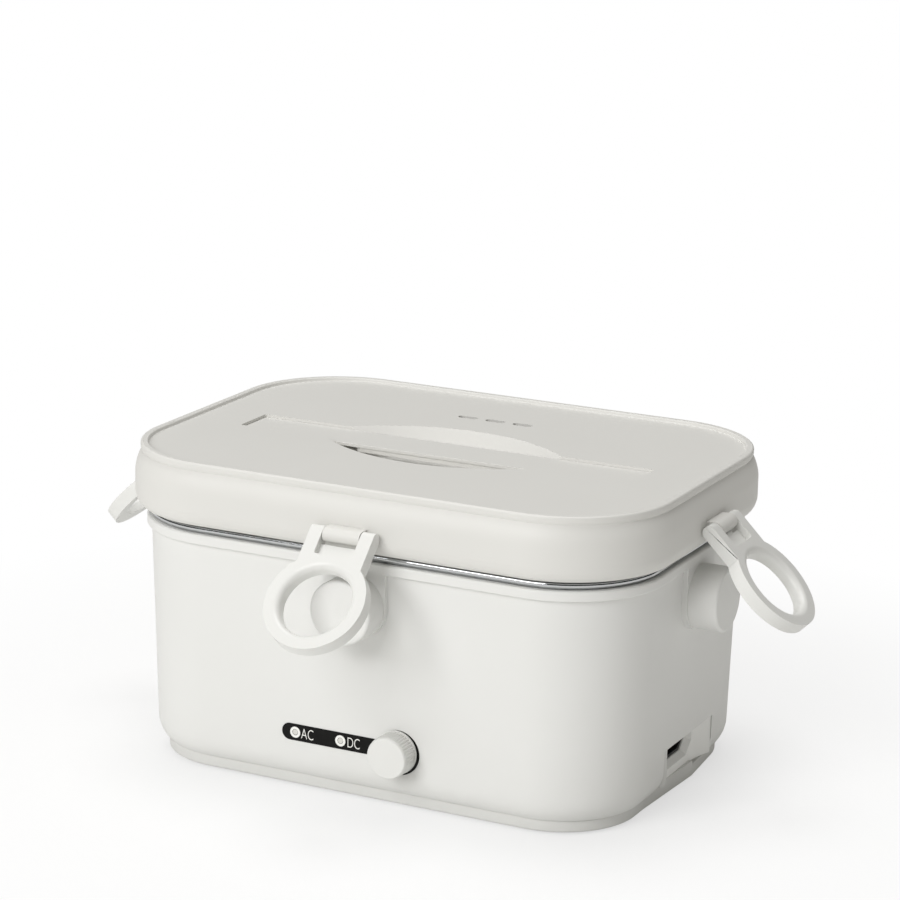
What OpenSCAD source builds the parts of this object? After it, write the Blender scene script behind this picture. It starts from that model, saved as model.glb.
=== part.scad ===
// Electric lunch box: heated body, lift-out steel pot, clear inner lid and a lift-off lid
// held by four ring latches. Millimetres, Z up, origin under the middle of the feet.

/* [Body] */
// Width of the body over its collar
body_w = 240; // [225:1:270]
// Depth of the body over its collar
body_d = 170; // [162:1:200]
// Height of the collar's top edge above the table
body_h = 108; // [104:1:125]
// Corner radius of the collar, seen from above
corner_r = 44; // [42:0.5:50]
// Wall thickness of the outer shell
shell_t = 2.5; // [2:0.1:2.8]
// How far the collar stands out from the wall
collar_proud = 2; // [1.5:0.1:2.5]
// Height of the collar band
collar_h = 4.5; // [4:0.1:6]
// How far the wall draws in between the collar and the lower edge
wall_draft = 2.5; // [1.5:0.1:3]
// Radius of the rounded lower edge
edge_r = 14; // [12:0.5:16]
// Height of the plinth that shows under the shell
plinth_h = 5.3; // [5:0.1:7]
// Thickness of the floor of the base cover
base_t = 2.4; // [2.2:0.1:3]
// How far the feet hold the plinth off the table
foot_h = 1; // [0.8:0.1:2]
// Radius of a rubber foot
foot_r = 7; // [5:0.5:9]

/* [Latches] */
// Radius of a latch post on the body
post_r = 14; // [13:0.1:14.6]
// How far the middle of a latch post lies below the collar's top edge
post_drop = 19.5; // [19:0.1:20]
// How far a latch post stands out from the collar
post_out = 13; // [12.6:0.1:15]
// Outer radius of the latch ring
ring_r = 22.2; // [21.5:0.1:24]
// Gap between the ring's hole and the latch post
ring_gap = 1.5; // [1:0.1:1.6]
// Thickness of a latch
latch_t = 6; // [5:0.1:6.4]
// Width of a latch at its hinge
latch_w = 29.5; // [28:0.1:32]
// Width of the hinge lug on the lid
lug_w = 17; // [14:0.1:18]
// Radius of a hinge pin
pin_r = 1.25; // [1:0.05:1.5]
// Running clearance of the hinge pins and of the dial shaft
running_fit = 0.05; // [0.03:0.01:0.08]
// Angle at which the latches stand open
open_angle = 45; // [40:1:50]

/* [Pot] */
// Height of the pot's floor above the table
pot_floor = 45; // [44:0.5:50]
// Sheet thickness of the pot
pot_t = 0.8; // [0.6:0.1:1]
// Radius of the rolled rim of the pot
roll_r = 1.6; // [1.4:0.05:1.8]

/* [Lids] */
// Height of the outer lid
lid_h = 28; // [27:0.5:34]
// Wall thickness of the outer lid
lid_t = 2.2; // [1.8:0.1:2.4]
// Thickness of the clear inner panel
panel_t = 1.6; // [1.2:0.1:2]
// Length of the grip
grip_l = 189; // [180:1:195]
// Width of the grip
grip_w = 21.6; // [18:0.2:24]
// Length of the finger recess under the grip
recess_l = 122; // [110:1:130]
// Width of the finger recess under the grip
recess_w = 62; // [56:1:68]
// Depth of the finger recess
recess_depth = 12; // [10:0.5:12.5]
// Length of a steam slot in the lid
slot_l = 9.5; // [7:0.5:12]
// Width of a steam slot in the lid
slot_w = 3.6; // [3:0.1:4.5]
// Length of the vent plug's button
plug_l = 54; // [44:1:58]
// Width of the vent plug's button
plug_w = 26; // [22:1:30]

/* [Controls] */
// Radius of the dial
dial_r = 9.3; // [8.5:0.1:10]
// Length of the dial
dial_l = 10; // [8:0.5:12]
// Place of the dial along the front
dial_x = 19; // [17:0.5:24]
// Height of the dial and the lights above the table
dial_z = 26.4; // [26:0.1:27]
// Radius of the dial shaft
shaft_r = 3; // [2.5:0.1:3.2]
// Height of the black control strip
strip_h = 7.4; // [6:0.1:8]
// Distance between the two lights
light_pitch = 21.8; // [20:0.1:24]
// Distance from the middle of the dial to the nearer light
light_gap = 26.9; // [25:0.1:29]
// Radius of a light lens
lens_r = 2.1; // [1.8:0.1:2.4]
// Width of the inlet bay in the right side
bay_w = 53; // [46:1:54]
// Height of the top of the inlet bay above the table
bay_top = 25; // [24:0.5:28]

/* [Hidden] */
$fn = 72;

// Distance of the wall's outer face inside the collar's at a height
function wall_inset(z) = collar_proud + wall_draft * (collar_z - z) / (collar_z - edge_z);

// Clearances
seat_gap = 0.3;
small_gap = 0.2;
cut = 1;
overlap = 1;

// Heights in the body
base_top = foot_h + base_t;
shell_z = foot_h + plinth_h;
edge_angle = 45;
edge_z = shell_z + edge_r * sin(edge_angle);
collar_z = body_h - collar_h;
post_z = body_h - post_drop;
wall_low = collar_proud + wall_draft;
lip_inset = wall_low + edge_r * (1 - cos(edge_angle));
plinth_inset = lip_inset + 0.6;
lip_w = 2.4;
chamfer = 0.5;

// Rim of the body, from outside to inside
ledge_inset = 4.2;
ledge_d = 5;
ledge_w = 3.3;
ledge_t = 2.3;
ledge_slope = 1.2;
well_t = 1.6;
well_inset = 8.2;
well_flange_t = 1.8;
well_corner = 6;

// Pot, heated well and heater
pot_inset = well_inset + well_t + 1.4;
roll_inset = 1.3;
rim_top = body_h + seat_gap + 2 * roll_r;
pot_corner = 8;
pot_lip = 1.8;
plate_t = 1.8;
plate_top = pot_floor - pot_t - seat_gap;
plate_inset = 26;
well_floor_top = plate_top - plate_t;
well_floor = well_floor_top - well_t;
heater_bay = [150, 64];
heater_size = [62, 22, 6];
thermostat_r = 8;
heater_x = thermostat_r + 1 + heater_size[0] / 2;
heater_z = well_floor_top - heater_size[2];
clamp_w = 14;
clamp_t = 1.2;
clamp_x = 82;
clamp_z = heater_z - clamp_t;
fuse_r = 2;
fuse_l = 14;
fuse_y = 18;

// Screws
screw_r = 1.5;
head_r = 3.2;
head_h = 1.4;
boss_r = 4.2;
foot_at = [body_w / 2 - corner_r, body_d / 2 - corner_r + 3];
base_screw_at = [foot_at[0] - foot_r - 8, foot_at[1]];
base_pad_h = 2;
base_screw_l = 12;
clamp_screw_l = 5;
lid_screw_l = 8;
foot_set = 0.8;
lid_screw_at = [body_w / 2 - 32, body_d / 2 - 27];

// Lids, from the pot's rim upwards
gasket_z = rim_top + seat_gap;
gasket_h = 5.2;
gasket_inset = 5.2;
gasket_top = gasket_z + gasket_h;
panel_top = gasket_z - 4.2;
panel_z = panel_top - panel_t;
lobe_r = 100;
lobe_out = 3;
lobe_h = 2;
bite_r = 40;
bite_in = 4.8;
lid_z = rim_top + 0.5;
lid_top = lid_z + lid_h;
face_z = lid_top - 1.6;
top_t = 3;
ceiling_z = face_z - top_t;
liner_t = 1.8;
liner_z = gasket_top + seat_gap + 3.5;
liner_top = liner_z + liner_t;
liner_inset = 2.2;
press_inset = 11.2;
press_t = 1.7;
grip_y = -5;
grip_set = 0.7;
grip_t = 2;
grip_mid = 76;
grip_mid_t = 4.2;
channel_d = grip_set + grip_t;
lens_radius = (pow(recess_l / 2, 2) + pow(recess_w / 2, 2)) / recess_w;
lens_offset = lens_radius - recess_w / 2;
recess_slope = 10;
pan_t = 2;
slot_y = 47;
slot_pitch = 13.5;

// Vent plug
plug_flange = 6;
plug_flange_h = 0.8;
plug_h = 7.5;
plug_stem = [24, 8];
plug_groove = 2;

// Latches and their hinges
hinge_out = 9;
ring_hole = post_r + ring_gap;
hinge_z = lid_z + 8.5;
arm_l = hinge_z - post_z;
barrel_r = 3.5;
pin_l = latch_w - 1;
window_l = 8;
bevel = 1;
stem_r = 5;
post_edge = 2.2;
bulge = 5;

// Controls
strip_inset = wall_inset(dial_z) - seat_gap;
wall_back = wall_inset(dial_z) + shell_t;
strip_t = 1.2;
strip_ring = dial_r + 1.3;
light_x = dial_x - light_gap - light_pitch;
strip_x = light_x - lens_r - 0.6;
knurls = 36;
knurl_r = 0.4;
dial_cap = 3;
switch_floor = 2;
switch_size = [24, 12, 24];
board_inset = wall_back + 5;
board_t = 1.6;
board_x = [light_x - 10, dial_x - switch_size[0] / 2 - 3];
board_z = [14, 36];
led_r = 1.5;
switch_inset = wall_back + 0.8;
bush_r = 4.2;

// Inlet
bay_y = 4;
bay_sill = 2;
sill_inset = 8.2;
guard_w = 9;
housing_inset = wall_inset(bay_top) + 0.7;
housing_depth = 13.5;
scoop_r = 51;
scoop_depth = 3.4;
bay_front = bay_y - bay_w / 2;
scoop_y = bay_front + 34.5;
socket_y = [bay_front + 10.5, bay_front + 36.5];
socket_z = [14.3, bay_top - 2];
socket_cut = 4.3;
socket_back = 10;
socket_t = 1.2;
socket_wall = 2;
pin_pitch = 7;
inlet_pin_r = 1;
wire_r = 1.2;

plastic = "#E6E5E1";
steel = "#B9BCC0";
silicone = "#B9B5AE";
dark = "#1B1B1C";
lining = "#DAD9D5";
copper = "#8A5A2B";

// Points along an arc, as [inset, z] pairs
function arc(x, z, r, from, to, steps) =
    [for (i = [0:steps]) let (a = from + (to - from) * i / steps) [x + r * cos(a), z + r * sin(a)]];

// Half the body's span across the side with a number: front 0, right 1, back 2, left 3
function half_span(side) = (side % 2 == 0 ? body_d : body_w) / 2;

// Runs a closed [inset, z] outline round the rounded rectangle of the body
module swept(profile) {
    outline = [for (p = profile) [corner_r - p[0], p[1]]];
    side_x = body_w / 2 - corner_r;
    side_y = body_d / 2 - corner_r;
    for (corner = [[1, 1, 0], [-1, 1, 90], [-1, -1, 180], [1, -1, 270]])
        translate([corner[0] * side_x, corner[1] * side_y, 0])
            rotate([0, 0, corner[2]])
                rotate_extrude(angle = 90) polygon(outline);
    for (turn = [0, 180]) rotate([0, 0, turn]) {
        translate([side_x, side_y, 0])
            rotate([90, 0, 0])
                linear_extrude(2 * side_y) polygon(outline);
        translate([-side_x, side_y, 0])
            rotate([90, 0, 90])
                linear_extrude(2 * side_x) polygon(outline);
    }
}

// Flat rounded rectangle of the body, drawn in by an inset
module plan(inset) {
    r = corner_r - inset;
    w = body_w - 2 * inset;
    d = body_d - 2 * inset;
    square([w - 2 * r, d], center = true);
    square([w, d - 2 * r], center = true);
    for (x = [-1, 1], y = [-1, 1])
        translate([x * (w / 2 - r), y * (d / 2 - r)]) circle(r);
}

module slab(inset, z_low, z_high) {
    translate([0, 0, z_low]) linear_extrude(z_high - z_low) plan(inset);
}

// Frame on one side: x along the wall, -y outwards, y = 0 on the collar's face
module on_side(side) {
    rotate([0, 0, 90 * side]) translate([0, -half_span(side), 0]) children();
}

// Cylinder that runs along y from one inset to another
module across(r, from, to) {
    translate([0, from, 0]) rotate([-90, 0, 0]) cylinder(r = r, h = to - from);
}

// Flat bar with round ends, lying along x
module stadium(l, w, h) {
    translate([0, 0, h / 2]) cube([l - w, w, h], center = true);
    for (x = [-1, 1]) translate([x * (l - w) / 2, 0, 0]) cylinder(r = w / 2, h = h);
}

module at_corners(at) {
    for (x = [-1, 1], y = [-1, 1]) translate([x * at[0], y * at[1], 0]) children();
}

// Outer shell, with the collar, the shields behind the posts and the inlet bay
module latch_shield(side) {
    on_side(side) {
        translate([0, 0, post_z]) across(post_r + 0.5, 0, ledge_inset);
        translate([-post_r - 0.5, 0, post_z])
            cube([2 * post_r + 1, ledge_inset, collar_z + chamfer - post_z]);
    }
}

module strip_outline(grow) {
    translate([dial_x, 0, dial_z]) across(strip_ring + grow, strip_inset, strip_inset + strip_t);
    translate([strip_x, 0, dial_z]) across(strip_h / 2 + grow, strip_inset, strip_inset + strip_t);
    translate([strip_x, strip_inset, dial_z - strip_h / 2 - grow])
        cube([dial_x - strip_x, strip_t, strip_h + 2 * grow]);
}

module outer_shell() color(plastic) {
    outside = concat(
        [[lip_inset + lip_w, shell_z]],
        [for (i = [0:5]) let (a = edge_angle * (1 - i / 5))
            [wall_low + edge_r * (1 - cos(a)), edge_z - edge_r * sin(a)]],
        [[collar_proud, collar_z], [chamfer, collar_z], [0, collar_z + chamfer],
         [0, body_h - chamfer], [chamfer, body_h]]
    );
    inside = concat(
        [[ledge_inset, body_h], [ledge_inset, body_h - ledge_d],
         [ledge_inset + ledge_w, body_h - ledge_d],
         [ledge_inset + ledge_w, body_h - ledge_d - ledge_t],
         [collar_proud + shell_t, body_h - ledge_d - ledge_t - ledge_slope]],
        [for (i = [0:5]) let (a = edge_angle * i / 5)
            [wall_low + edge_r - (edge_r - shell_t) * cos(a), edge_z - (edge_r - shell_t) * sin(a)]]
    );
    difference() {
        union() {
            swept(concat(outside, inside));
            for (side = [0:3]) latch_shield(side);
        }
        for (side = [0:3]) on_side(side)
            translate([0, 0, post_z]) across(stem_r, -cut, collar_proud + shell_t + cut);
        on_side(0) {
            translate([0, -collar_proud, 0]) strip_outline(small_gap);
            strip_outline(small_gap);
            translate([dial_x, 0, dial_z]) across(bush_r + small_gap, 0, wall_low + shell_t + cut);
            for (i = [0, 1]) translate([light_x + i * light_pitch, 0, dial_z])
                across(lens_r + 0.1, 0, wall_low + shell_t + cut);
        }
        on_side(1) translate([bay_front, -cut, shell_z - cut])
            cube([bay_w, lip_inset + lip_w + 2 * cut, bay_top - shell_z + cut]);
    }
}

module base_cover() color(plastic) difference() {
    rib = lip_inset + lip_w + 0.4;
    rib_t = 1.5;
    rib_h = 4;
    union() {
        swept([
            [plinth_inset + chamfer, foot_h], [plinth_inset, foot_h + chamfer],
            [plinth_inset, shell_z], [rib, shell_z], [rib, shell_z + rib_h],
            [rib + rib_t, shell_z + rib_h], [rib + rib_t, base_top], [rib + 3, base_top],
            [rib + 3, foot_h]
        ]);
        slab(rib + 2, foot_h, base_top);
        at_corners(base_screw_at) translate([0, 0, base_top - overlap])
            cylinder(r = boss_r + 1, h = base_pad_h + overlap);
        on_side(0) for (x = [board_x[0] + 8, board_x[1] - 8])
            translate([x - 3, board_inset + 0.6, base_top - overlap])
                cube([6, 4, board_z[0] - base_top + overlap]);
    }
    on_side(1) translate([bay_front - cut, 0, shell_z])
        cube([bay_w + 2 * cut, rib + rib_t + cut, rib_h + cut]);
    at_corners(base_screw_at) translate([0, 0, foot_h - cut]) {
        cylinder(r = head_r + small_gap, h = cut + head_h);
        cylinder(r = screw_r, h = base_t + base_pad_h + 2 * cut);
    }
    at_corners(foot_at) translate([0, 0, foot_h - cut]) cylinder(r = foot_r, h = cut + foot_set);
}

module rubber_feet() color(dark) at_corners(foot_at) rotate_extrude()
    polygon([[0, 0], [foot_r - chamfer, 0], [foot_r, chamfer], [foot_r, foot_h + foot_set],
             [0, foot_h + foot_set]]);

module screw_up(z, length) {
    translate([0, 0, z]) cylinder(r = head_r, h = head_h);
    translate([0, 0, z + head_h - overlap / 2]) cylinder(r = screw_r, h = length + overlap / 2);
}

module base_screws() color(steel) at_corners(base_screw_at) screw_up(foot_h, base_screw_l);

// Plastic well that the pot hangs in, with the columns that carry the base screws
module heating_well() color(lining) difference() {
    floor_in = well_inset + well_t + well_corner + 4;
    union() {
        swept(concat(
            [[ledge_inset + small_gap, body_h - ledge_d],
             [ledge_inset + small_gap, body_h - ledge_d + well_flange_t],
             [well_inset + well_t, body_h - ledge_d + well_flange_t]],
            arc(well_inset + well_t + well_corner, well_floor_top + well_corner, well_corner,
                180, 270, 6),
            [[floor_in, well_floor_top], [floor_in, well_floor]],
            arc(well_inset + well_t + well_corner, well_floor_top + well_corner,
                well_corner + well_t, 270, 180, 6),
            [[well_inset, body_h - ledge_d]]
        ));
        slab(floor_in - overlap, well_floor, well_floor_top);
        at_corners(base_screw_at) translate([0, 0, base_top + base_pad_h])
            cylinder(r = boss_r, h = well_floor - base_top - base_pad_h + overlap);
        for (x = [-1, 1]) translate([x * clamp_x, 0, heater_z])
            cylinder(r = boss_r, h = well_floor - heater_z + overlap);
    }
    translate([0, 0, well_floor]) cube([heater_bay[0], heater_bay[1], 3 * well_t], center = true);
    at_corners(base_screw_at) translate([0, 0, base_top])
        cylinder(r = screw_r, h = base_screw_l + base_pad_h);
    for (x = [-1, 1]) translate([x * clamp_x, 0, heater_z - cut])
        cylinder(r = screw_r, h = clamp_screw_l + cut);
}

module heat_plate() color(steel) slab(plate_inset, well_floor_top, plate_top);

module ptc_heater(x) {
    fins = 7;
    pitch = heater_size[0] / fins;
    translate([x, 0, heater_z]) difference() {
        translate([-heater_size[0] / 2, -heater_size[1] / 2, 0]) cube(heater_size);
        for (i = [1:fins - 1]) translate([-heater_size[0] / 2 + i * pitch, 0, 0])
            cube([1.2, heater_size[1] + 2 * cut, 3], center = true);
    }
}

module ptc_heater_mains() color(steel) ptc_heater(-heater_x);
module ptc_heater_car() color(steel) ptc_heater(heater_x);

module heater_clamp() color("#8F9397") difference() {
    translate([-clamp_x - boss_r, -clamp_w / 2, clamp_z])
        cube([2 * (clamp_x + boss_r), clamp_w, clamp_t]);
    for (x = [-1, 1]) translate([x * clamp_x, 0, clamp_z - cut])
        cylinder(r = screw_r, h = clamp_t + 2 * cut);
}

module clamp_screws() color(steel) for (x = [-1, 1]) translate([x * clamp_x, 0, 0])
    screw_up(clamp_z - head_h, clamp_screw_l);

module thermostat() color(dark) translate([0, 0, heater_z]) {
    cylinder(r = thermostat_r - 1, h = heater_size[2]);
    translate([0, 0, 2]) cylinder(r = thermostat_r, h = heater_size[2] - 2);
}

module thermal_fuse() color("#D9C9A0")
    translate([-fuse_l / 2, fuse_y, well_floor_top - fuse_r])
        rotate([0, 90, 0]) cylinder(r = fuse_r, h = fuse_l);

module control_board() color("#2F6B3C") on_side(0)
    translate([board_x[0], board_inset, board_z[0]])
        cube([board_x[1] - board_x[0], board_t, board_z[1] - board_z[0]]);

module indicator_leds() color("#F3F0D8") on_side(0) for (i = [0, 1])
    translate([light_x + i * light_pitch, 0, dial_z]) across(led_r, wall_back + 0.8, board_inset);

module indicator_lenses() color("#F2F2EE") on_side(0) for (i = [0, 1])
    translate([light_x + i * light_pitch, 0, dial_z]) {
        across(lens_r, strip_inset - 0.2, wall_back + 0.4);
        across(lens_r - 0.4, strip_inset - 0.5, strip_inset);
    }

module control_strip() color(dark) on_side(0) difference() {
    strip_outline(0);
    translate([dial_x, 0, dial_z]) across(shaft_r + 0.6, 0, wall_low + shell_t);
    for (i = [0, 1]) translate([light_x + i * light_pitch, 0, dial_z])
        across(lens_r + 0.1, 0, wall_low + shell_t);
}

module rotary_switch() color(dark) on_side(0) translate([dial_x, 0, dial_z]) difference() {
    union() {
        translate([-switch_size[0] / 2, switch_inset, -switch_size[2] / 2]) cube(switch_size);
        across(bush_r, strip_inset + strip_t + small_gap, switch_inset + overlap);
    }
    across(shaft_r + running_fit, 0, switch_inset + switch_size[1] - switch_floor);
}

// Post that a latch ring snaps over: a cap on a stem pressed through the shield
module latch_post(side) on_side(side) translate([0, 0, post_z]) {
    rotate([90, 0, 0]) rotate_extrude()
        polygon(concat([[0, 0], [post_r, 0]],
                       arc(post_r - post_edge, post_out - post_edge, post_edge, 0, 90, 5),
                       [[0, post_out]]));
    across(stem_r, -overlap, well_inset - seat_gap);
}

module latch_post_front() color(plastic) latch_post(0);
module latch_post_right() color(plastic) latch_post(1);
module latch_post_back() color(plastic) latch_post(2);
module latch_post_left() color(plastic) latch_post(3);

// Outline of the socket's mouth, its two lower corners cut off, as a bar along y
module socket_bar(inset, from, to) {
    y = [socket_y[0] + inset, socket_y[1] - inset];
    z = [socket_z[0] + inset, socket_z[1] - inset];
    translate([0, to, 0]) rotate([90, 0, 0]) linear_extrude(to - from)
        polygon([[y[0] + socket_cut, z[0]], [y[1] - socket_cut, z[0]],
                 [y[1], z[0] + socket_cut], [y[1], z[1]], [y[0], z[1]],
                 [y[0], z[0] + socket_cut]]);
}

// Light insert in the bay: a guard bar, a flat face with the socket, and a ramp for the thumb
module inlet_housing() color("#DFDEDA") on_side(1) difference() {
    low = shell_z + bay_sill;
    from = bay_front + small_gap;
    union() {
        translate([from, housing_inset, low])
            cube([bay_w - 2 * small_gap, housing_depth, bay_top - low - small_gap]);
        translate([from, sill_inset, shell_z + small_gap])
            cube([bay_w - 2 * small_gap, housing_inset + housing_depth - sill_inset,
                  bay_sill - small_gap + overlap]);
    }
    translate([from + guard_w, housing_inset - cut, low])
        cube([scoop_y - from - guard_w, scoop_depth + cut, bay_top]);
    translate([scoop_y, housing_inset + scoop_depth - scoop_r, low])
        intersection() {
            cylinder(r = scoop_r, h = bay_top, $fn = 180);
            translate([-cut, 0, 0]) cube([bay_w, scoop_r, bay_top]);
        }
    socket_bar(0, housing_inset, housing_inset + housing_depth + cut);
}

module inlet_socket() color(dark) on_side(1) difference() {
    front = housing_inset + scoop_depth + 3;
    back = housing_inset + housing_depth + socket_back;
    socket_bar(0, front, back);
    socket_bar(socket_t, front - cut, back - socket_wall);
    inlet_pin_set(front, back + cut);
}

module inlet_pin_set(from, to) {
    for (i = [-1:1])
        translate([(socket_y[0] + socket_y[1]) / 2 + i * pin_pitch, 0, (socket_z[0] + socket_z[1]) / 2])
            across(inlet_pin_r, from, to);
}

module inlet_pins() color("#B8863B") on_side(1)
    inlet_pin_set(housing_inset + scoop_depth + 8, housing_inset + housing_depth + socket_back);

// Round wire through a list of points
module wire(points) {
    for (i = [0:len(points) - 2]) {
        run = points[i + 1] - points[i];
        flat = norm([run[0], run[1]]);
        translate(points[i])
            rotate([0, atan2(flat, run[2]), atan2(run[1], run[0])])
                cylinder(r = wire_r, h = norm(run), $fn = 24);
    }
    for (i = [1:len(points) - 2]) translate(points[i]) sphere(r = wire_r, $fn = 24);
}

wire_low = 20;
wire_high = 26;
socket_x = body_w / 2 - housing_inset - housing_depth - socket_back;
switch_back = -body_d / 2 + switch_inset + switch_size[1];
heater_edge = clamp_w / 2 + wire_r + 0.6;
socket_tag = 3;
switch_tag = 6;
wire_bend_y = -40;
return_x = heater_x + 15;

module wire_live() color(copper) wire([
    [socket_x, socket_y[0] + socket_tag, wire_low],
    [dial_x + switch_tag, socket_y[0] + socket_tag, wire_low],
    [dial_x + switch_tag, switch_back, wire_low]
]);

module wire_switched() color(copper) wire([
    [dial_x - switch_tag, switch_back, wire_high], [dial_x - switch_tag, wire_bend_y, wire_high],
    [-heater_x, wire_bend_y, wire_high], [-heater_x, -heater_edge, wire_high],
    [-heater_x, -heater_edge, heater_z]
]);

module wire_return() color("#3A6EA5") wire([
    [socket_x, 0, wire_low], [return_x, 0, wire_low], [return_x, heater_edge, wire_low],
    [return_x, heater_edge, heater_z]
]);

// Dial with a ribbed edge, pressed on the switch shaft
module dial() color(plastic) on_side(0) translate([dial_x, 0, dial_z]) difference() {
    back = strip_inset - seat_gap;
    edge = 0.8;
    core_r = dial_r - knurl_r;
    translate([0, back, 0]) rotate([90, 0, 0]) {
        rotate_extrude()
            polygon(concat([[0, 0], [dial_r + 0.2, 0], [dial_r + 0.2, edge], [core_r, edge]],
                           arc(core_r - edge, dial_l - edge, edge, 0, 90, 4), [[0, dial_l]]));
        translate([0, 0, edge / 2]) linear_extrude(dial_l - 2 * edge)
            for (i = [0:knurls - 1]) rotate(i * 360 / knurls) translate([core_r, 0]) circle(knurl_r);
    }
    across(shaft_r, back - dial_l + dial_cap, back + cut);
}

module dial_shaft() color(steel) on_side(0) translate([dial_x, 0, dial_z])
    across(shaft_r, strip_inset - seat_gap - dial_l + dial_cap,
           switch_inset + switch_size[1] - switch_floor - 0.5);

// Drawn steel pot with a rolled rim
module pot() color(steel) {
    inner = pot_inset + pot_t;
    floor_in = inner + pot_corner + 4;
    roll_x = roll_inset + roll_r;
    roll_z = rim_top - roll_r;
    swept(concat(
        arc(roll_x, roll_z, roll_r, asin((roll_r - pot_t) / roll_r), -270, 15),
        arc(inner - pot_lip, rim_top - pot_lip, pot_lip, 90, 0, 5),
        arc(inner + pot_corner, pot_floor + pot_corner, pot_corner, 180, 270, 8),
        [[floor_in, pot_floor], [floor_in, pot_floor - pot_t]],
        arc(inner + pot_corner, pot_floor + pot_corner, pot_corner + pot_t, 270, 180, 8),
        arc(inner - pot_lip, rim_top - pot_lip, pot_lip - pot_t, 0, 90, 5)
    ));
    slab(floor_in - overlap, pot_floor - pot_t, pot_floor);
}

module inner_lid_panel() color("#E9ECEC", 0.4) difference() {
    slab(pot_inset + pot_t + 2.4, panel_z, panel_top);
    translate([0, 0, panel_z - cut]) stadium(plug_stem[0], plug_stem[1], panel_t + 2 * cut);
}

// Stepped silicone ring round the clear panel, with a thumb lobe at each end
module inner_lid_gasket() color(silicone) difference() {
    skirt = pot_inset + pot_t + 0.5;
    i = gasket_inset;
    z = gasket_z;
    union() {
        swept([
            [i, z], [i, z + 2.4], [i + 0.6, z + 3.4], [i + 1.8, z + 3.5], [i + 2, z + 3],
            [i + 2.8, z + 3], [i + 3.1, z + 4.2], [i + 4.6, z + 4.3], [i + 4.8, z + 3.8],
            [i + 5.6, z + 3.8], [i + 5.9, z + gasket_h - 0.1], [i + 7.4, z + gasket_h],
            [skirt + 1, z + gasket_h - 0.6], [skirt + 1.2, panel_top + 0.9],
            [skirt + 2.9, panel_top + 0.7], [skirt + 3.1, panel_top], [skirt + 1.9, panel_top],
            [skirt + 1.9, panel_z], [skirt + 3.1, panel_z], [skirt + 2.8, panel_z - 0.7],
            [skirt + 0.7, panel_z - 0.8], [skirt, panel_z - 0.3], [skirt, z]
        ]);
        for (side = [-1, 1]) intersection() {
            translate([side * (body_w / 2 - i + lobe_out - lobe_r), 0, z])
                cylinder(r = lobe_r, h = lobe_h, $fn = 180);
            translate([side * (body_w / 2 - i + lobe_out - 5), 0, z + lobe_h / 2])
                cube([10, body_d / 2, lobe_h], center = true);
        }
    }
    for (side = [-1, 1])
        translate([side * (body_w / 2 - i - bite_in + bite_r), 0, z + lobe_h])
            cylinder(r = bite_r, h = gasket_h);
}

module vent_plug() color(silicone) {
    z = panel_top + seat_gap;
    rim = 3.4;
    top = z + plug_flange_h + plug_h;
    translate([0, 0, z]) stadium(plug_l + 2 * plug_flange, plug_w + 2 * plug_flange, plug_flange_h);
    difference() {
        translate([0, 0, z]) stadium(plug_l, plug_w, plug_flange_h + plug_h);
        translate([0, 0, top - plug_groove])
            stadium(plug_l - 2 * rim, plug_w - 2 * rim, plug_groove + cut);
    }
    translate([0, 0, top - plug_groove - overlap])
        stadium(plug_l - 4 * rim, plug_w - 4 * rim, plug_groove + overlap - 0.4);
    translate([0, 0, panel_z - 2.5])
        stadium(plug_stem[0] - 0.6, plug_stem[1] - 0.6, panel_t + 2.5 + seat_gap + overlap);
}

// Eye shape of the finger recess: two sloping round walls that cross
module eye(grow, depth, slope, z) {
    intersection_for(side = [-1, 1])
        translate([0, grip_y + side * lens_offset, z - depth])
            cylinder(r1 = lens_radius + grow - slope, r2 = lens_radius + grow, h = depth, $fn = 180);
}

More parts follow.
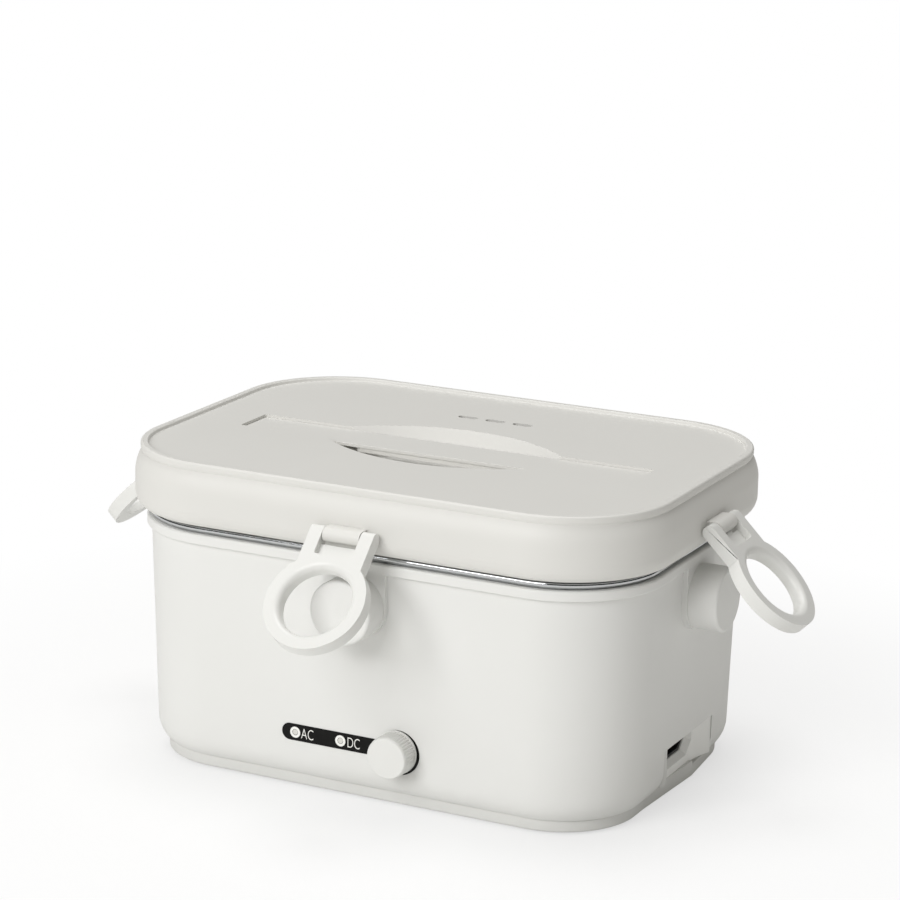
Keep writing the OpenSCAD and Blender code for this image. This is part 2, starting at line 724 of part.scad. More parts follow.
module lid_shell() color(plastic) {
    bottom_w = 5.2;
    bottom_h = 7;
    lip = 1.2;
    wall = [for (i = [0:8]) let (a = 90 * i / 8)
        [bottom_w - bulge - bottom_w * sin(a), lid_z + bottom_h * (1 - cos(a))]];
    outside = concat(wall, [
        [-bulge, lid_top - 13.5], [-bulge + 0.25, lid_top - 11.5], [-bulge + 0.8, lid_top - 9],
        [-bulge + 1.6, lid_top - 6.8], [-bulge + 2.3, lid_top - 5.2], [-bulge + 2.8, lid_top - 4.2],
        [-bulge + 2.9, lid_top - 3.7], [-bulge + 2.5, lid_top - 3.1], [-bulge + 2.4, lid_top - 2.4],
        [-bulge + 2.4, lid_top - 1], [-bulge + 2.8, lid_top - 0.2], [-bulge + 3.4, lid_top],
        [-bulge + 5.2, lid_top], [-bulge + 5.8, lid_top - 0.4], [-bulge + 6, face_z]
    ]);
    inside = [
        [6, face_z], [6, ceiling_z], [1.2, ceiling_z], [0.2, ceiling_z - 1.2],
        [-bulge + 2.8 + lid_t, ceiling_z - 2], [-bulge + 0.8 + lid_t, lid_top - 10],
        [-bulge + lid_t, lid_top - 14], [-bulge + lid_t, lid_z + bottom_h],
        [-bulge + lid_t + 1.4, lid_z + 3], [lip, lid_z + 1], [lip, lid_z]
    ];
    difference() {
        union() {
            swept(concat(outside, inside));
            slab(5, ceiling_z, face_z);
            eye(pan_t, recess_depth + pan_t, recess_slope, face_z);
            translate([-grip_l / 2 - 3, grip_y - grip_w / 2 - 3, ceiling_z - 1.5])
                cube([grip_l + 6, grip_w + 6, 2]);
            at_corners(lid_screw_at) translate([0, 0, liner_top])
                cylinder(r = boss_r, h = ceiling_z - liner_top + overlap);
            for (side = [0:3]) on_side(side) hinge_lug();
        }
        eye(0, recess_depth, recess_slope, face_z + 0.01);
        translate([-grip_l / 2 - small_gap, grip_y - grip_w / 2 - small_gap, face_z - channel_d])
            cube([grip_l + 2 * small_gap, grip_w + 2 * small_gap, channel_d + cut]);
        steam_slots(ceiling_z - cut, top_t + 2 * cut);
        at_corners(lid_screw_at) translate([0, 0, liner_top - cut])
            cylinder(r = screw_r, h = lid_screw_l + cut);
        for (side = [0:3]) on_side(side) translate([-lug_w / 2 - cut, -hinge_out, hinge_z])
            rotate([0, 90, 0]) cylinder(r = pin_r, h = lug_w + 2 * cut);
    }
}

module steam_slots(z, depth) {
    for (i = [-1:1]) translate([i * slot_pitch, slot_y, z]) stadium(slot_l, slot_w, depth);
}

// Lug that stands out from the lid's skirt and carries a hinge pin
module hinge_lug() {
    translate([-lug_w / 2, -hinge_out, hinge_z]) rotate([0, 90, 0])
        cylinder(r = barrel_r - 0.2, h = lug_w);
    translate([-lug_w / 2, -hinge_out, hinge_z - barrel_r + 0.2])
        cube([lug_w, hinge_out - bulge + lid_t / 2, 2 * barrel_r - 0.4]);
}

module lid_liner() color(lining) difference() {
    slab(liner_inset, liner_z, liner_top);
    at_corners(lid_screw_at) translate([0, 0, liner_z - cut])
        cylinder(r = screw_r, h = liner_t + 2 * cut);
    steam_slots(liner_z - cut, liner_t + 2 * cut);
}

// Ring under the liner that holds the gasket down when the lid is latched
module press_ring() color(lining) swept([
    [press_inset, gasket_top + seat_gap], [press_inset, liner_z],
    [press_inset + press_t, liner_z], [press_inset + press_t, gasket_top + seat_gap]
]);

module lid_screws() color(steel) at_corners(lid_screw_at) screw_up(liner_z - head_h, lid_screw_l);

// Grip bar: thin ends lie in the lid's channel, the middle is the grip
module grip() color(plastic) translate([0, grip_y, face_z - grip_set]) {
    translate([-grip_l / 2, -grip_w / 2, -grip_t]) cube([grip_l, grip_w, grip_t]);
    translate([-grip_mid / 2, -grip_w / 2 + 1, -grip_mid_t])
        cube([grip_mid, grip_w - 2, grip_mid_t - overlap]);
}

module hinge_pin(side) on_side(side) translate([-pin_l / 2, -hinge_out, hinge_z])
    rotate([0, 90, 0]) cylinder(r = pin_r, h = pin_l);

module hinge_pin_front() color(steel) hinge_pin(0);
module hinge_pin_right() color(steel) hinge_pin(1);
module hinge_pin_back() color(steel) hinge_pin(2);
module hinge_pin_left() color(steel) hinge_pin(3);

// Ring latch, drawn open; its hole goes over the post when it hangs down
module latch(side) on_side(side) translate([0, -hinge_out, hinge_z]) rotate([-open_angle, 0, 0])
    difference() {
        union() {
            translate([0, 0, -arm_l]) across(ring_r, -latch_t / 2, latch_t / 2);
            translate([-latch_w / 2, -latch_t / 2, -arm_l + ring_hole - 3])
                cube([latch_w, latch_t, arm_l - ring_hole + 3]);
            translate([-latch_w / 2, 0, 0]) rotate([0, 90, 0]) cylinder(r = barrel_r, h = latch_w);
        }
        translate([0, 0, -arm_l]) {
            across(ring_hole, -latch_t, latch_t);
            translate([0, -latch_t / 2 - 0.01, 0]) rotate([-90, 0, 0])
                cylinder(r1 = ring_hole + bevel, r2 = ring_hole, h = 2 * bevel);
        }
        translate([-lug_w / 2 - seat_gap, -latch_t, -window_l])
            cube([lug_w + 2 * seat_gap, 2 * latch_t, window_l + 2 * barrel_r]);
        translate([-latch_w, 0, 0]) rotate([0, 90, 0])
            cylinder(r = pin_r + running_fit, h = 2 * latch_w);
    }

module latch_front() color(plastic) latch(0);
module latch_right() color(plastic) latch(1);
module latch_back() color(plastic) latch(2);
module latch_left() color(plastic) latch(3);

outer_shell();
base_cover();
rubber_feet();
base_screws();
heating_well();
heat_plate();
ptc_heater_mains();
ptc_heater_car();
heater_clamp();
clamp_screws();
thermostat();
thermal_fuse();
control_board();
indicator_leds();
indicator_lenses();
control_strip();
rotary_switch();
latch_post_front();
latch_post_right();
latch_post_back();
latch_post_left();
inlet_housing();
inlet_socket();
inlet_pins();
wire_live();
wire_switched();
wire_return();
dial();
dial_shaft();
pot();
inner_lid_panel();
inner_lid_gasket();
vent_plug();
lid_shell();
lid_liner();
press_ring();
lid_screws();
grip();
hinge_pin_front();
hinge_pin_right();
hinge_pin_back();
hinge_pin_left();
latch_front();
latch_right();
latch_back();
latch_left();
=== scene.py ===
import math

import bmesh
import bpy
from mathutils import Matrix, Vector


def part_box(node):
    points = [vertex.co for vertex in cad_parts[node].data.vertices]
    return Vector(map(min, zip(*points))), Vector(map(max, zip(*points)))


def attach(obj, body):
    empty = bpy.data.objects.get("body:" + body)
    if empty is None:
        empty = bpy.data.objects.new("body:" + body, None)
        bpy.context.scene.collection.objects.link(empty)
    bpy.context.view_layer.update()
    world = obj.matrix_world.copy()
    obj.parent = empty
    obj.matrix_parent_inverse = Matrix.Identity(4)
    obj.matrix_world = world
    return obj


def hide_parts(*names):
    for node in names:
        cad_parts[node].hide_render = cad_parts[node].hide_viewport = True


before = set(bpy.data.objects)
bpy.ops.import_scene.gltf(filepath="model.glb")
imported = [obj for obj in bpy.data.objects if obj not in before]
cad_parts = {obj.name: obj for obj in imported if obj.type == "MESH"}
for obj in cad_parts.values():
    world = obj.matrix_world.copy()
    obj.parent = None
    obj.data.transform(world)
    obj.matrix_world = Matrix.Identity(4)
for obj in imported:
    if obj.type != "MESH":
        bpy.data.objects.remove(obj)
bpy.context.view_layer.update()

# Camera, at the photograph's viewpoint. The angles and distances come from fitting the body's
# outline, so the body lands where the photograph has it, with room above for the lifted lids.
AZIMUTH, ELEVATION, ROLL = (math.radians(a) for a in (26.46, 14.79, 1.0))
DISTANCE = 1.4
AIM_RIGHT, AIM_UP = 0.0032, 0.1313
SENSOR, LENS = 36.0, 125.8
back = Vector((math.sin(AZIMUTH) * math.cos(ELEVATION),
               -math.cos(AZIMUTH) * math.cos(ELEVATION), math.sin(ELEVATION)))
level_right = Vector((math.cos(AZIMUTH), math.sin(AZIMUTH), 0))
level_up = back.cross(level_right)
right = level_right * math.cos(ROLL) + level_up * math.sin(ROLL)
up = level_up * math.cos(ROLL) - level_right * math.sin(ROLL)
camera_data = bpy.data.cameras.new("camera")
camera_data.sensor_width = SENSOR
camera_data.lens = LENS
camera_data.clip_start = 0.05
camera_data.clip_end = 20
camera = bpy.data.objects.new("camera", camera_data)
bpy.context.scene.collection.objects.link(camera)
axes = Matrix((right, up, back)).transposed().to_4x4()
camera.matrix_world = Matrix.Translation(back * DISTANCE + right * AIM_RIGHT + up * AIM_UP) @ axes
bpy.context.scene.camera = camera
bpy.context.scene.view_settings.view_transform = "Standard"


# Studio: a white sweep that keeps the object's shadow, a large soft lamp in front and to the left
# of the camera, and a smaller one overhead. Gloss sees a darker room, as on the photograph's rim.
def hex_colour(text):
    """An sRGB hex colour as linear red, green, blue, alpha."""
    parts = [int(text[i:i + 2], 16) / 255 for i in (1, 3, 5)]
    return [c / 12.92 if c <= 0.04045 else ((c + 0.055) / 1.055) ** 2.4 for c in parts] + [1.0]


def add(tree, kind, inputs=None, **settings):
    """Adds a node with its settings; an input is a value or another node's output."""
    node = tree.nodes.new(kind)
    for name, value in settings.items():
        setattr(node, name, value)
    for name, value in (inputs or {}).items():
        if isinstance(value, bpy.types.NodeSocket):
            tree.links.new(value, node.inputs[name])
        else:
            node.inputs[name].default_value = value
    return node


def new_material(name):
    """An empty node material and its output node."""
    made = bpy.data.materials.new(name)
    made.use_nodes = True
    made.node_tree.nodes.clear()
    return made, made.node_tree, add(made.node_tree, "ShaderNodeOutputMaterial")


world = bpy.data.worlds.new("studio")
world.use_nodes = True
tree = world.node_tree
tree.nodes.clear()
path = add(tree, "ShaderNodeLightPath")
seen = add(tree, "ShaderNodeMath", {0: path.outputs["Is Camera Ray"],
                                    1: path.outputs["Is Transmission Ray"]}, operation="MAXIMUM")
room_light = add(tree, "ShaderNodeBackground", {"Color": hex_colour("#F5F3EE"), "Strength": 0.37})
dark_room = add(tree, "ShaderNodeBackground", {"Color": hex_colour("#F4F6F8"), "Strength": 0.03})
white = add(tree, "ShaderNodeBackground", {"Color": hex_colour("#FFFFFF"), "Strength": 1.0})
around = add(tree, "ShaderNodeMixShader", {0: path.outputs["Is Glossy Ray"],
                                           1: room_light.outputs[0], 2: dark_room.outputs[0]})
mixed = add(tree, "ShaderNodeMixShader", {0: seen.outputs[0], 1: around.outputs[0],
                                          2: white.outputs[0]})
add(tree, "ShaderNodeOutputWorld", {"Surface": mixed.outputs[0]})
bpy.context.scene.world = world


def lamp(name, place, target, size, power):
    """A square soft lamp that faces a target."""
    data = bpy.data.lights.new(name, "AREA")
    data.shape = "SQUARE"
    data.size = size
    data.energy = power
    made = bpy.data.objects.new(name, data)
    bpy.context.scene.collection.objects.link(made)
    made.location = place
    made.rotation_mode = "QUATERNION"
    made.rotation_quaternion = (Vector(target) - Vector(place)).to_track_quat("-Z", "Y")


lamp("key", (-0.55, -2.4, 1.45), (0, 0, 0.07), 1.5, 46)
lamp("top", (-0.2, 0.2, 2.2), (0, 0, 0.07), 1.0, 20)

# The paper lies a hair below the feet. Its own white fades in with the distance from the object,
# so the shadow stays near it and the paper's far edge can't be told from the white room.
PAPER_SIZE, PAPER_DROP = 12, 0.0002
FADE_START, FADE_END = 0.12, 0.36
bpy.ops.mesh.primitive_plane_add(size=PAPER_SIZE)
floor = bpy.context.object
floor.name = "floor"
floor.data.transform(Matrix.Translation((0, 0, -PAPER_DROP)))
made, tree, output = new_material("paper_sweep")
paper = add(tree, "ShaderNodeBsdfDiffuse", {"Color": hex_colour("#F2F2F1")})
glow = add(tree, "ShaderNodeEmission", {"Color": hex_colour("#FFFFFF"), "Strength": 1.0})
path = add(tree, "ShaderNodeLightPath")
far = add(tree, "ShaderNodeTexCoord")
spot = add(tree, "ShaderNodeVectorMath", {0: far.outputs["Object"]}, operation="LENGTH")
fade = add(tree, "ShaderNodeMapRange", {"Value": spot.outputs["Value"], "From Min": FADE_START,
                                        "From Max": FADE_END, "To Min": 0.62, "To Max": 1.0})
lit = add(tree, "ShaderNodeMath", {0: fade.outputs[0], 1: path.outputs["Is Camera Ray"]},
          operation="MULTIPLY")
mixed = add(tree, "ShaderNodeMixShader", {0: lit.outputs[0], 1: paper.outputs[0],
                                          2: glow.outputs[0]})
tree.links.new(mixed.outputs[0], output.inputs["Surface"])
floor.data.materials.append(made)

# Outer shell: one injection-moulded polypropylene wall, drawn in towards the table, with a
# proud collar, four pads behind the latch posts and an open bay for the lead at the right.
MM = 0.001
shell_low, shell_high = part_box("outer_shell")
CORNER = 44 * MM
HALF_W, HALF_D = shell_high.x, shell_high.y
SIDE_X, SIDE_Y = HALF_W / MM, HALF_D / MM
BODY_TOP = shell_high.z / MM
SHELL_LOW = shell_low.z / MM
COLLAR_H = 4.5
COLLAR_LOW = BODY_TOP - COLLAR_H
SEAT_IN, SEAT_DEEP = 4.2, 5
LEDGE_IN, LEDGE_T = 7.5, 2.3
EDGE_R = 14
EDGE_Z = SHELL_LOW + EDGE_R * math.sin(math.radians(45))
WALL_LOW = 4.5
WALL_T = 2.5
LIP = WALL_LOW + EDGE_R * (1 - math.cos(math.radians(45)))
CORNER_STEPS = 20


def arc(x, z, r, start, end, steps=5):
    """Points of an arc, as (inset, height) pairs in millimetres."""
    turns = [math.radians(start + (end - start) * i / steps) for i in range(steps + 1)]
    return [(x + r * math.cos(a), z + r * math.sin(a)) for a in turns]


def only(piece, mode="OBJECT"):
    """Selects one object alone, with all of its mesh, and goes to a mode."""
    if bpy.context.object and bpy.context.object.mode != "OBJECT":
        bpy.ops.object.mode_set(mode="OBJECT")
    bpy.ops.object.select_all(action="DESELECT")
    piece.select_set(True)
    bpy.context.view_layer.objects.active = piece
    if mode == "EDIT":
        bpy.ops.object.mode_set(mode="EDIT")
        bpy.ops.mesh.select_mode(type="VERT")
        bpy.ops.mesh.select_all(action="SELECT")


def outward(piece):
    """Merges doubled points and turns all faces of a closed piece outwards."""
    only(piece, "EDIT")
    bpy.ops.mesh.remove_doubles(threshold=0.005 * MM)
    bpy.ops.mesh.normals_make_consistent(inside=False)
    bpy.ops.object.mode_set(mode="OBJECT")


def swept(name, outline, closed=True):
    """Draws an outline of (inset, height) points round the box's four sides and corners.

    An outline that isn't closed gets a flat face over each of its two open rings."""
    cx, cy = HALF_W - CORNER, HALF_D - CORNER
    points = [(cx + CORNER - x * MM, -cy, z * MM) for x, z in outline]
    edges = [(i, i + 1) for i in range(len(points) - 1)]
    if closed:
        edges.append((len(points) - 1, 0))
    mesh = bpy.data.meshes.new(name)
    mesh.from_pydata(points, edges, [])
    piece = bpy.data.objects.new(name, mesh)
    bpy.context.scene.collection.objects.link(piece)
    only(piece, "EDIT")
    sides = [((0, 2 * cy, 0), (cx, cy)), ((-2 * cx, 0, 0), (-cx, cy)),
             ((0, -2 * cy, 0), (-cx, -cy)), ((2 * cx, 0, 0), (cx, -cy))]
    for along, centre in sides:
        bpy.ops.mesh.extrude_region_move(TRANSFORM_OT_translate={"value": along})
        bpy.ops.mesh.spin(steps=CORNER_STEPS, angle=-math.pi / 2, center=(*centre, 0),
                          axis=(0, 0, 1))
    bpy.ops.mesh.select_all(action="SELECT")
    bpy.ops.mesh.remove_doubles(threshold=0.01 * MM)
    if not closed:
        bpy.ops.mesh.fill_holes(sides=0)
    bpy.ops.object.mode_set(mode="OBJECT")
    outward(piece)
    return piece


def combine(piece, other, operation):
    """Joins or cuts with another closed solid, which is used up."""
    only(piece)
    cutter = piece.modifiers.new("combine", "BOOLEAN")
    cutter.operation = operation
    cutter.solver = "EXACT"
    cutter.object = other
    bpy.ops.object.modifier_apply(modifier=cutter.name)
    bpy.data.objects.remove(other)


def soften(piece, width, segments=3, angle=45):
    """Rounds the sharp edges of a finished solid and shades the rest smooth."""
    only(piece, "EDIT")
    bpy.ops.mesh.dissolve_limited(angle_limit=math.radians(0.05))
    bpy.ops.object.mode_set(mode="OBJECT")
    rounding = piece.modifiers.new("soft_edges", "BEVEL")
    rounding.width = width * MM
    rounding.segments = segments
    rounding.limit_method = "ANGLE"
    rounding.angle_limit = math.radians(angle)
    bpy.ops.object.modifier_apply(modifier=rounding.name)
    shade(piece)


def shade(piece, angle=32):
    """Shades a piece smooth, with its large faces kept flat up to their edges."""
    only(piece)
    bpy.ops.object.shade_smooth_by_angle(angle=math.radians(angle))
    flat = piece.modifiers.new("flat_faces", "WEIGHTED_NORMAL")
    flat.keep_sharp = True
    bpy.ops.object.modifier_apply(modifier=flat.name)


def round_edges(piece, width, segments, chosen):
    """Rounds the edges whose two ends, in millimetres, pass a test."""
    only(piece, "EDIT")
    bpy.ops.mesh.select_mode(type="EDGE")
    bpy.ops.mesh.select_all(action="DESELECT")
    edit = bmesh.from_edit_mesh(piece.data)
    for edge in edit.edges:
        edge.select_set(chosen(*(v.co / MM for v in edge.verts)))
    bmesh.update_edit_mesh(piece.data)
    bpy.ops.mesh.bevel(offset=width * MM, segments=segments)
    bpy.ops.object.mode_set(mode="OBJECT")


def block(name, low, high, corner=0, segments=6):
    """A box between two corners in millimetres, its four upright edges rounded if asked."""
    bpy.ops.mesh.primitive_cube_add(size=1)
    piece = bpy.context.object
    piece.name = name
    size = [(b - a) * MM for a, b in zip(low, high)]
    middle = [(a + b) / 2 * MM for a, b in zip(low, high)]
    piece.data.transform(Matrix.Translation(middle) @ Matrix.Diagonal((*size, 1)))
    if corner:
        round_edges(piece, corner, segments, lambda a, b: abs(a.z - b.z) > 0.01)
        outward(piece)
    return piece


def rod(name, r, start, end, r_end=None, vertices=96):
    """A round bar between two points in millimetres; it tapers if its end radius differs."""
    start, end = Vector(start) * MM, Vector(end) * MM
    bpy.ops.mesh.primitive_cone_add(vertices=vertices, radius1=r * MM, depth=(end - start).length,
                                    radius2=(r if r_end is None else r_end) * MM)
    piece = bpy.context.object
    piece.name = name
    turn = (end - start).to_track_quat("Z", "Y").to_matrix().to_4x4()
    piece.data.transform(Matrix.Translation((start + end) / 2) @ turn)
    return piece


def on_side(piece, side):
    """Turns a piece that was made at the front to side 0 front, 1 right, 2 back or 3 left."""
    reach = (HALF_D, HALF_W)[side % 2]
    turn = Matrix.Rotation(side * math.pi / 2, 4, "Z")
    piece.data.transform(turn @ Matrix.Translation((0, -reach, 0)))


def finish_piece(piece, body, slot, material, *stands_for):
    """Gives a piece its material, its body and the nodes that it stands for; the slot is not used.
    """
    piece.data.materials.clear()
    piece.data.materials.append(material)
    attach(piece, body)
    if stands_for:
        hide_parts(*stands_for)


def moulded(name, colour, shade_colour, roughness, grain, depth, ior=1.49):
    """A moulded plastic: a fine eroded grain, slow colour drift and slightly uneven gloss."""
    made, tree, output = new_material(name)
    where = add(tree, "ShaderNodeTexCoord").outputs["Object"]
    drift = add(tree, "ShaderNodeTexNoise", {"Vector": where, "Scale": 22.0, "Detail": 3.0})
    tone = add(tree, "ShaderNodeMix", {"Factor": drift.outputs[0], "A": hex_colour(colour),
                                       "B": hex_colour(shade_colour)}, data_type="RGBA")
    fine = add(tree, "ShaderNodeTexNoise", {"Vector": where, "Scale": 1 / (grain * MM),
                                            "Detail": 2.0, "Roughness": 0.6})
    gloss = add(tree, "ShaderNodeMapRange", {"Value": fine.outputs[0], "From Min": 0.3,
                                             "From Max": 0.7, "To Min": roughness - 0.05,
                                             "To Max": roughness + 0.06})
    bumps = add(tree, "ShaderNodeBump", {"Height": fine.outputs[0], "Strength": 0.5,
                                         "Distance": depth * MM})
    surface = add(tree, "ShaderNodeBsdfPrincipled", {
        "Base Color": tone.outputs["Result"], "Roughness": gloss.outputs[0], "IOR": ior,
        "Normal": bumps.outputs[0]})
    tree.links.new(surface.outputs[0], output.inputs["Surface"])
    return made


# Polypropylene from an eroded mould: matte, warm white, with a grain of about 0.5 mm.
white_pp = moulded("polypropylene_warm_white", "#E3E3E1", "#E0E0DD", 0.48, 0.5, 0.02)

shell = swept("shell", [
    (LIP + 2.4, SHELL_LOW), (LIP + 0.3, SHELL_LOW), (LIP - 0.1, SHELL_LOW + 0.15),
    *arc(WALL_LOW + EDGE_R, EDGE_Z, EDGE_R, 223, 180, 9),
    (2.35, COLLAR_LOW - 9), (2.02, COLLAR_LOW - 0.5), (1.85, COLLAR_LOW - 0.12),
    (1.5, COLLAR_LOW), *arc(0.6, COLLAR_LOW + 0.6, 0.6, 270, 180, 4),
    *arc(1, BODY_TOP - 1, 1, 180, 90, 6), (3.6, BODY_TOP), (4.05, BODY_TOP - 0.15),
    (SEAT_IN, BODY_TOP - 0.5), (SEAT_IN, BODY_TOP - SEAT_DEEP), (LEDGE_IN, BODY_TOP - SEAT_DEEP),
    (LEDGE_IN, BODY_TOP - SEAT_DEEP - LEDGE_T), (4.5, BODY_TOP - 8.5),
    *arc(WALL_LOW + EDGE_R, EDGE_Z, EDGE_R - WALL_T, 180, 222, 8)])

# Each pad is a round boss on the wall, drawn straight up to meet the collar.
POST_DROP = 19.5
POST_Z = BODY_TOP - POST_DROP
PAD_R, PAD_T = 14.5, 3.6
for side in range(4):
    pad = rod("pad", PAD_R, (0, 0, POST_Z), (0, PAD_T, POST_Z))
    for point in pad.data.vertices:
        if point.co.z > POST_Z * MM:
            point.co.z = (COLLAR_LOW + 1) * MM
    outward(pad)
    on_side(pad, side)
    combine(shell, pad, "UNION")

BAY_LOW, BAY_HIGH, BAY_TOP = -22.5, 30.5, 25
BAY_DEEP = 16
combine(shell, block("bay", (SIDE_X - BAY_DEEP, BAY_LOW, SHELL_LOW - 8),
                     (SIDE_X + 2, BAY_HIGH, BAY_TOP)), "DIFFERENCE")
soften(shell, 0.5, 3, 50)
finish_piece(shell, "base", "body_plastic", white_pp, "outer_shell")


# Base cover: the plinth that shows under the shell, moulded in the same plastic, its colour a shade
# darker as painted shade from the shell above, and screwed on from below. A proud sill under the bay
# closes the lower edge of the inlet.
PLINTH = LIP + 0.6
FOOT_H = 1
FLOOR_TOP = 3.4
RIB = LIP + 2.8
SILL_TOP = SHELL_LOW + 2
RIB_T, RIB_H = 1.5, 4
FOOT_AT = (SIDE_X - 44, SIDE_Y - 41)
FOOT_SEAT_R, FOOT_SEAT_H = 7.1, 1.8
SCREW_AT = (FOOT_AT[0] - 15, FOOT_AT[1])
SCREW_SEAT_R, SCREW_SEAT_H = 3.4, 2.4
CORNERS = [(x, y) for x in (-1, 1) for y in (-1, 1)]

# An open outline ends at this inset, and flat faces close it over the middle.
MIDDLE_IN = 40
cover = swept("cover", [
    (MIDDLE_IN, FLOOR_TOP), (RIB + RIB_T, FLOOR_TOP), (RIB + RIB_T, SHELL_LOW + RIB_H),
    (RIB, SHELL_LOW + RIB_H), (RIB, SHELL_LOW), (PLINTH + 0.5, SHELL_LOW),
    (PLINTH + 0.15, SHELL_LOW - 0.15), (PLINTH, SHELL_LOW - 0.5), (PLINTH + 0.05, FOOT_H + 0.9),
    *arc(PLINTH + 0.95, FOOT_H + 0.9, 0.9, 180, 270, 4), (MIDDLE_IN, FOOT_H)], closed=False)
combine(cover, block("rib_gap", (SIDE_X - RIB - 2 * RIB_T, BAY_LOW - 1, SHELL_LOW),
                     (SIDE_X, BAY_HIGH + 1, SHELL_LOW + RIB_H + 2)), "DIFFERENCE")

# The sill is high from its front end to SILL_END and low from there on. Both its ends run out
# into the plinth beyond the bay.
SILL_PROUD, SILL_END = 2.4, 16
SILL_STEPS = ((BAY_LOW - 10, SILL_END, SILL_TOP), (SILL_END - 1, BAY_HIGH + 12, SHELL_LOW))
for low_y, high_y, top in SILL_STEPS:
    sill = block("sill", (SIDE_X - RIB - 1, low_y, FOOT_H + 0.2),
                 (SIDE_X - PLINTH + SILL_PROUD, high_y, top))
    for point in sill.data.vertices:
        if not BAY_LOW < point.co.y / MM < BAY_HIGH and point.co.x > (SIDE_X - RIB) * MM:
            point.co.x = (SIDE_X - PLINTH - 0.1) * MM
    soften(sill, 0.5)
    combine(cover, sill, "UNION")
for x, y in CORNERS:
    foot_x, foot_y = x * FOOT_AT[0], y * FOOT_AT[1]
    combine(cover, rod("foot_seat", FOOT_SEAT_R, (foot_x, foot_y, 0),
                       (foot_x, foot_y, FOOT_SEAT_H)), "DIFFERENCE")
    screw_x, screw_y = x * SCREW_AT[0], y * SCREW_AT[1]
    combine(cover, rod("screw_seat", SCREW_SEAT_R, (screw_x, screw_y, 0),
                       (screw_x, screw_y, SCREW_SEAT_H)), "DIFFERENCE")
shade(cover)

# The same polypropylene painted a shade greyer: painted shade for the plinth under the shell and the
# guard bar in the bay.
painted_shade_pp = moulded("polypropylene_painted_shade", "#D9D9D6", "#D6D6D3", 0.5, 0.5, 0.02)
finish_piece(cover, "base", "body_plastic", painted_shade_pp, "base_cover")


# Latch posts: four moulded caps that the rings snap over. Each is a plain disc with a softly
# rounded edge, on a stem pressed through the pad in the shell.
POST_R, POST_OUT = 14, 13
POST_ROUND = 1.4
SIDES = ("front", "right", "back", "left")
for side, name in enumerate(SIDES):
    post = rod(f"post_{name}", POST_R, (0, 1, POST_Z), (0, -POST_OUT, POST_Z), vertices=128)
    soften(post, POST_ROUND, 6)
    on_side(post, side)
    finish_piece(post, "base", "body_plastic", white_pp, f"latch_post_{name}")


# Inlet: a paler moulded insert in the bay, with the dark socket and its brass pins behind a
# flared window with cut lower corners, a ramp for the thumb at its right and a round guard bar at
# its left. The insert lies nearly flush with the wall, and the window's face is set back in it.
INSERT = SIDE_X - 4.95
INSERT_T = 13.5
FACE_X = INSERT - 3.4
FIT = 0.2
RAMP_R, RAMP_Y = 51, 12
insert = block("insert", (INSERT - INSERT_T, BAY_LOW + FIT, SILL_TOP - 0.5),
               (INSERT, BAY_HIGH - FIT, BAY_TOP - FIT))
combine(insert, block("face_cut", (FACE_X, BAY_LOW - 1, SILL_TOP - 1),
                      (INSERT + 1, RAMP_Y, BAY_TOP)), "DIFFERENCE")
ramp = rod("ramp", RAMP_R, (FACE_X + RAMP_R, RAMP_Y, SILL_TOP - 1),
           (FACE_X + RAMP_R, RAMP_Y, BAY_TOP), vertices=360)
combine(ramp, block("ramp_part", (FACE_X - 1, RAMP_Y - 0.1, SILL_TOP - 2),
                    (INSERT + 1, BAY_HIGH + 1, BAY_TOP + 1)), "INTERSECT")
combine(insert, ramp, "DIFFERENCE")
FLOOR_EDGE = SIDE_X - 9.5
combine(insert, block("insert_floor", (INSERT - INSERT_T, BAY_LOW + FIT, SHELL_LOW + FIT),
                      (FLOOR_EDGE, BAY_HIGH - FIT, SILL_TOP - 0.3)), "UNION")

WINDOW_Y, WINDOW_HALF = 1, 13
WINDOW_LOW, WINDOW_TOP = 14.3, BAY_TOP - 2
WINDOW_CUT = 4.3
FLARE_BACK, FLARE_FRONT = 2.4, 2


def window_block(name, back_x, front_x):
    """A block with the outline of the window, its two lower corners cut off."""
    piece = block(name, (back_x, WINDOW_Y - WINDOW_HALF, WINDOW_LOW),
                  (front_x, WINDOW_Y + WINDOW_HALF, WINDOW_TOP))
    round_edges(piece, WINDOW_CUT, 1,
                lambda a, b: abs(a.x - b.x) > 1 and max(a.z, b.z) < WINDOW_LOW + 0.1)
    return piece


# The mouth widens at 45 degrees to the sides and downwards, and ends in front of the face.
combine(insert, window_block("window", INSERT - 20, INSERT + 2), "DIFFERENCE")
mouth = window_block("mouth", FACE_X - FLARE_BACK, FACE_X + FLARE_FRONT)
flare = FLARE_BACK + FLARE_FRONT
for point in mouth.data.vertices:
    if point.co.x > FACE_X * MM:
        beside = point.co.y / MM - WINDOW_Y
        below = WINDOW_TOP - point.co.z / MM
        point.co.y += beside * flare / WINDOW_HALF * MM
        point.co.z -= below * flare / (WINDOW_TOP - WINDOW_LOW) * MM
combine(insert, mouth, "DIFFERENCE")
shade(insert, 25)

# A paler, slightly glossier polypropylene, so the insert stands out from the wall round it.
pale_pp = moulded("polypropylene_pale_insert", "#F3F3F0", "#F0F0ED", 0.42, 0.5, 0.015)
finish_piece(insert, "base", "well_plastic", pale_pp, "inlet_housing")

GUARD_LOW, GUARD_W = BAY_LOW + 1.2, 7.2
GUARD_BACK, GUARD_FRONT = FACE_X - 3, INSERT - 0.6
guard = block("guard_bar", (GUARD_BACK, GUARD_LOW, SILL_TOP - 0.4),
              (GUARD_FRONT, GUARD_LOW + GUARD_W, BAY_TOP - 0.3), corner=3)
soften(guard, 0.3)
# The guard bar takes the greyer plastic: painted shade, so it reads darker than the wall round it.
finish_piece(guard, "base", "body_plastic", painted_shade_pp)


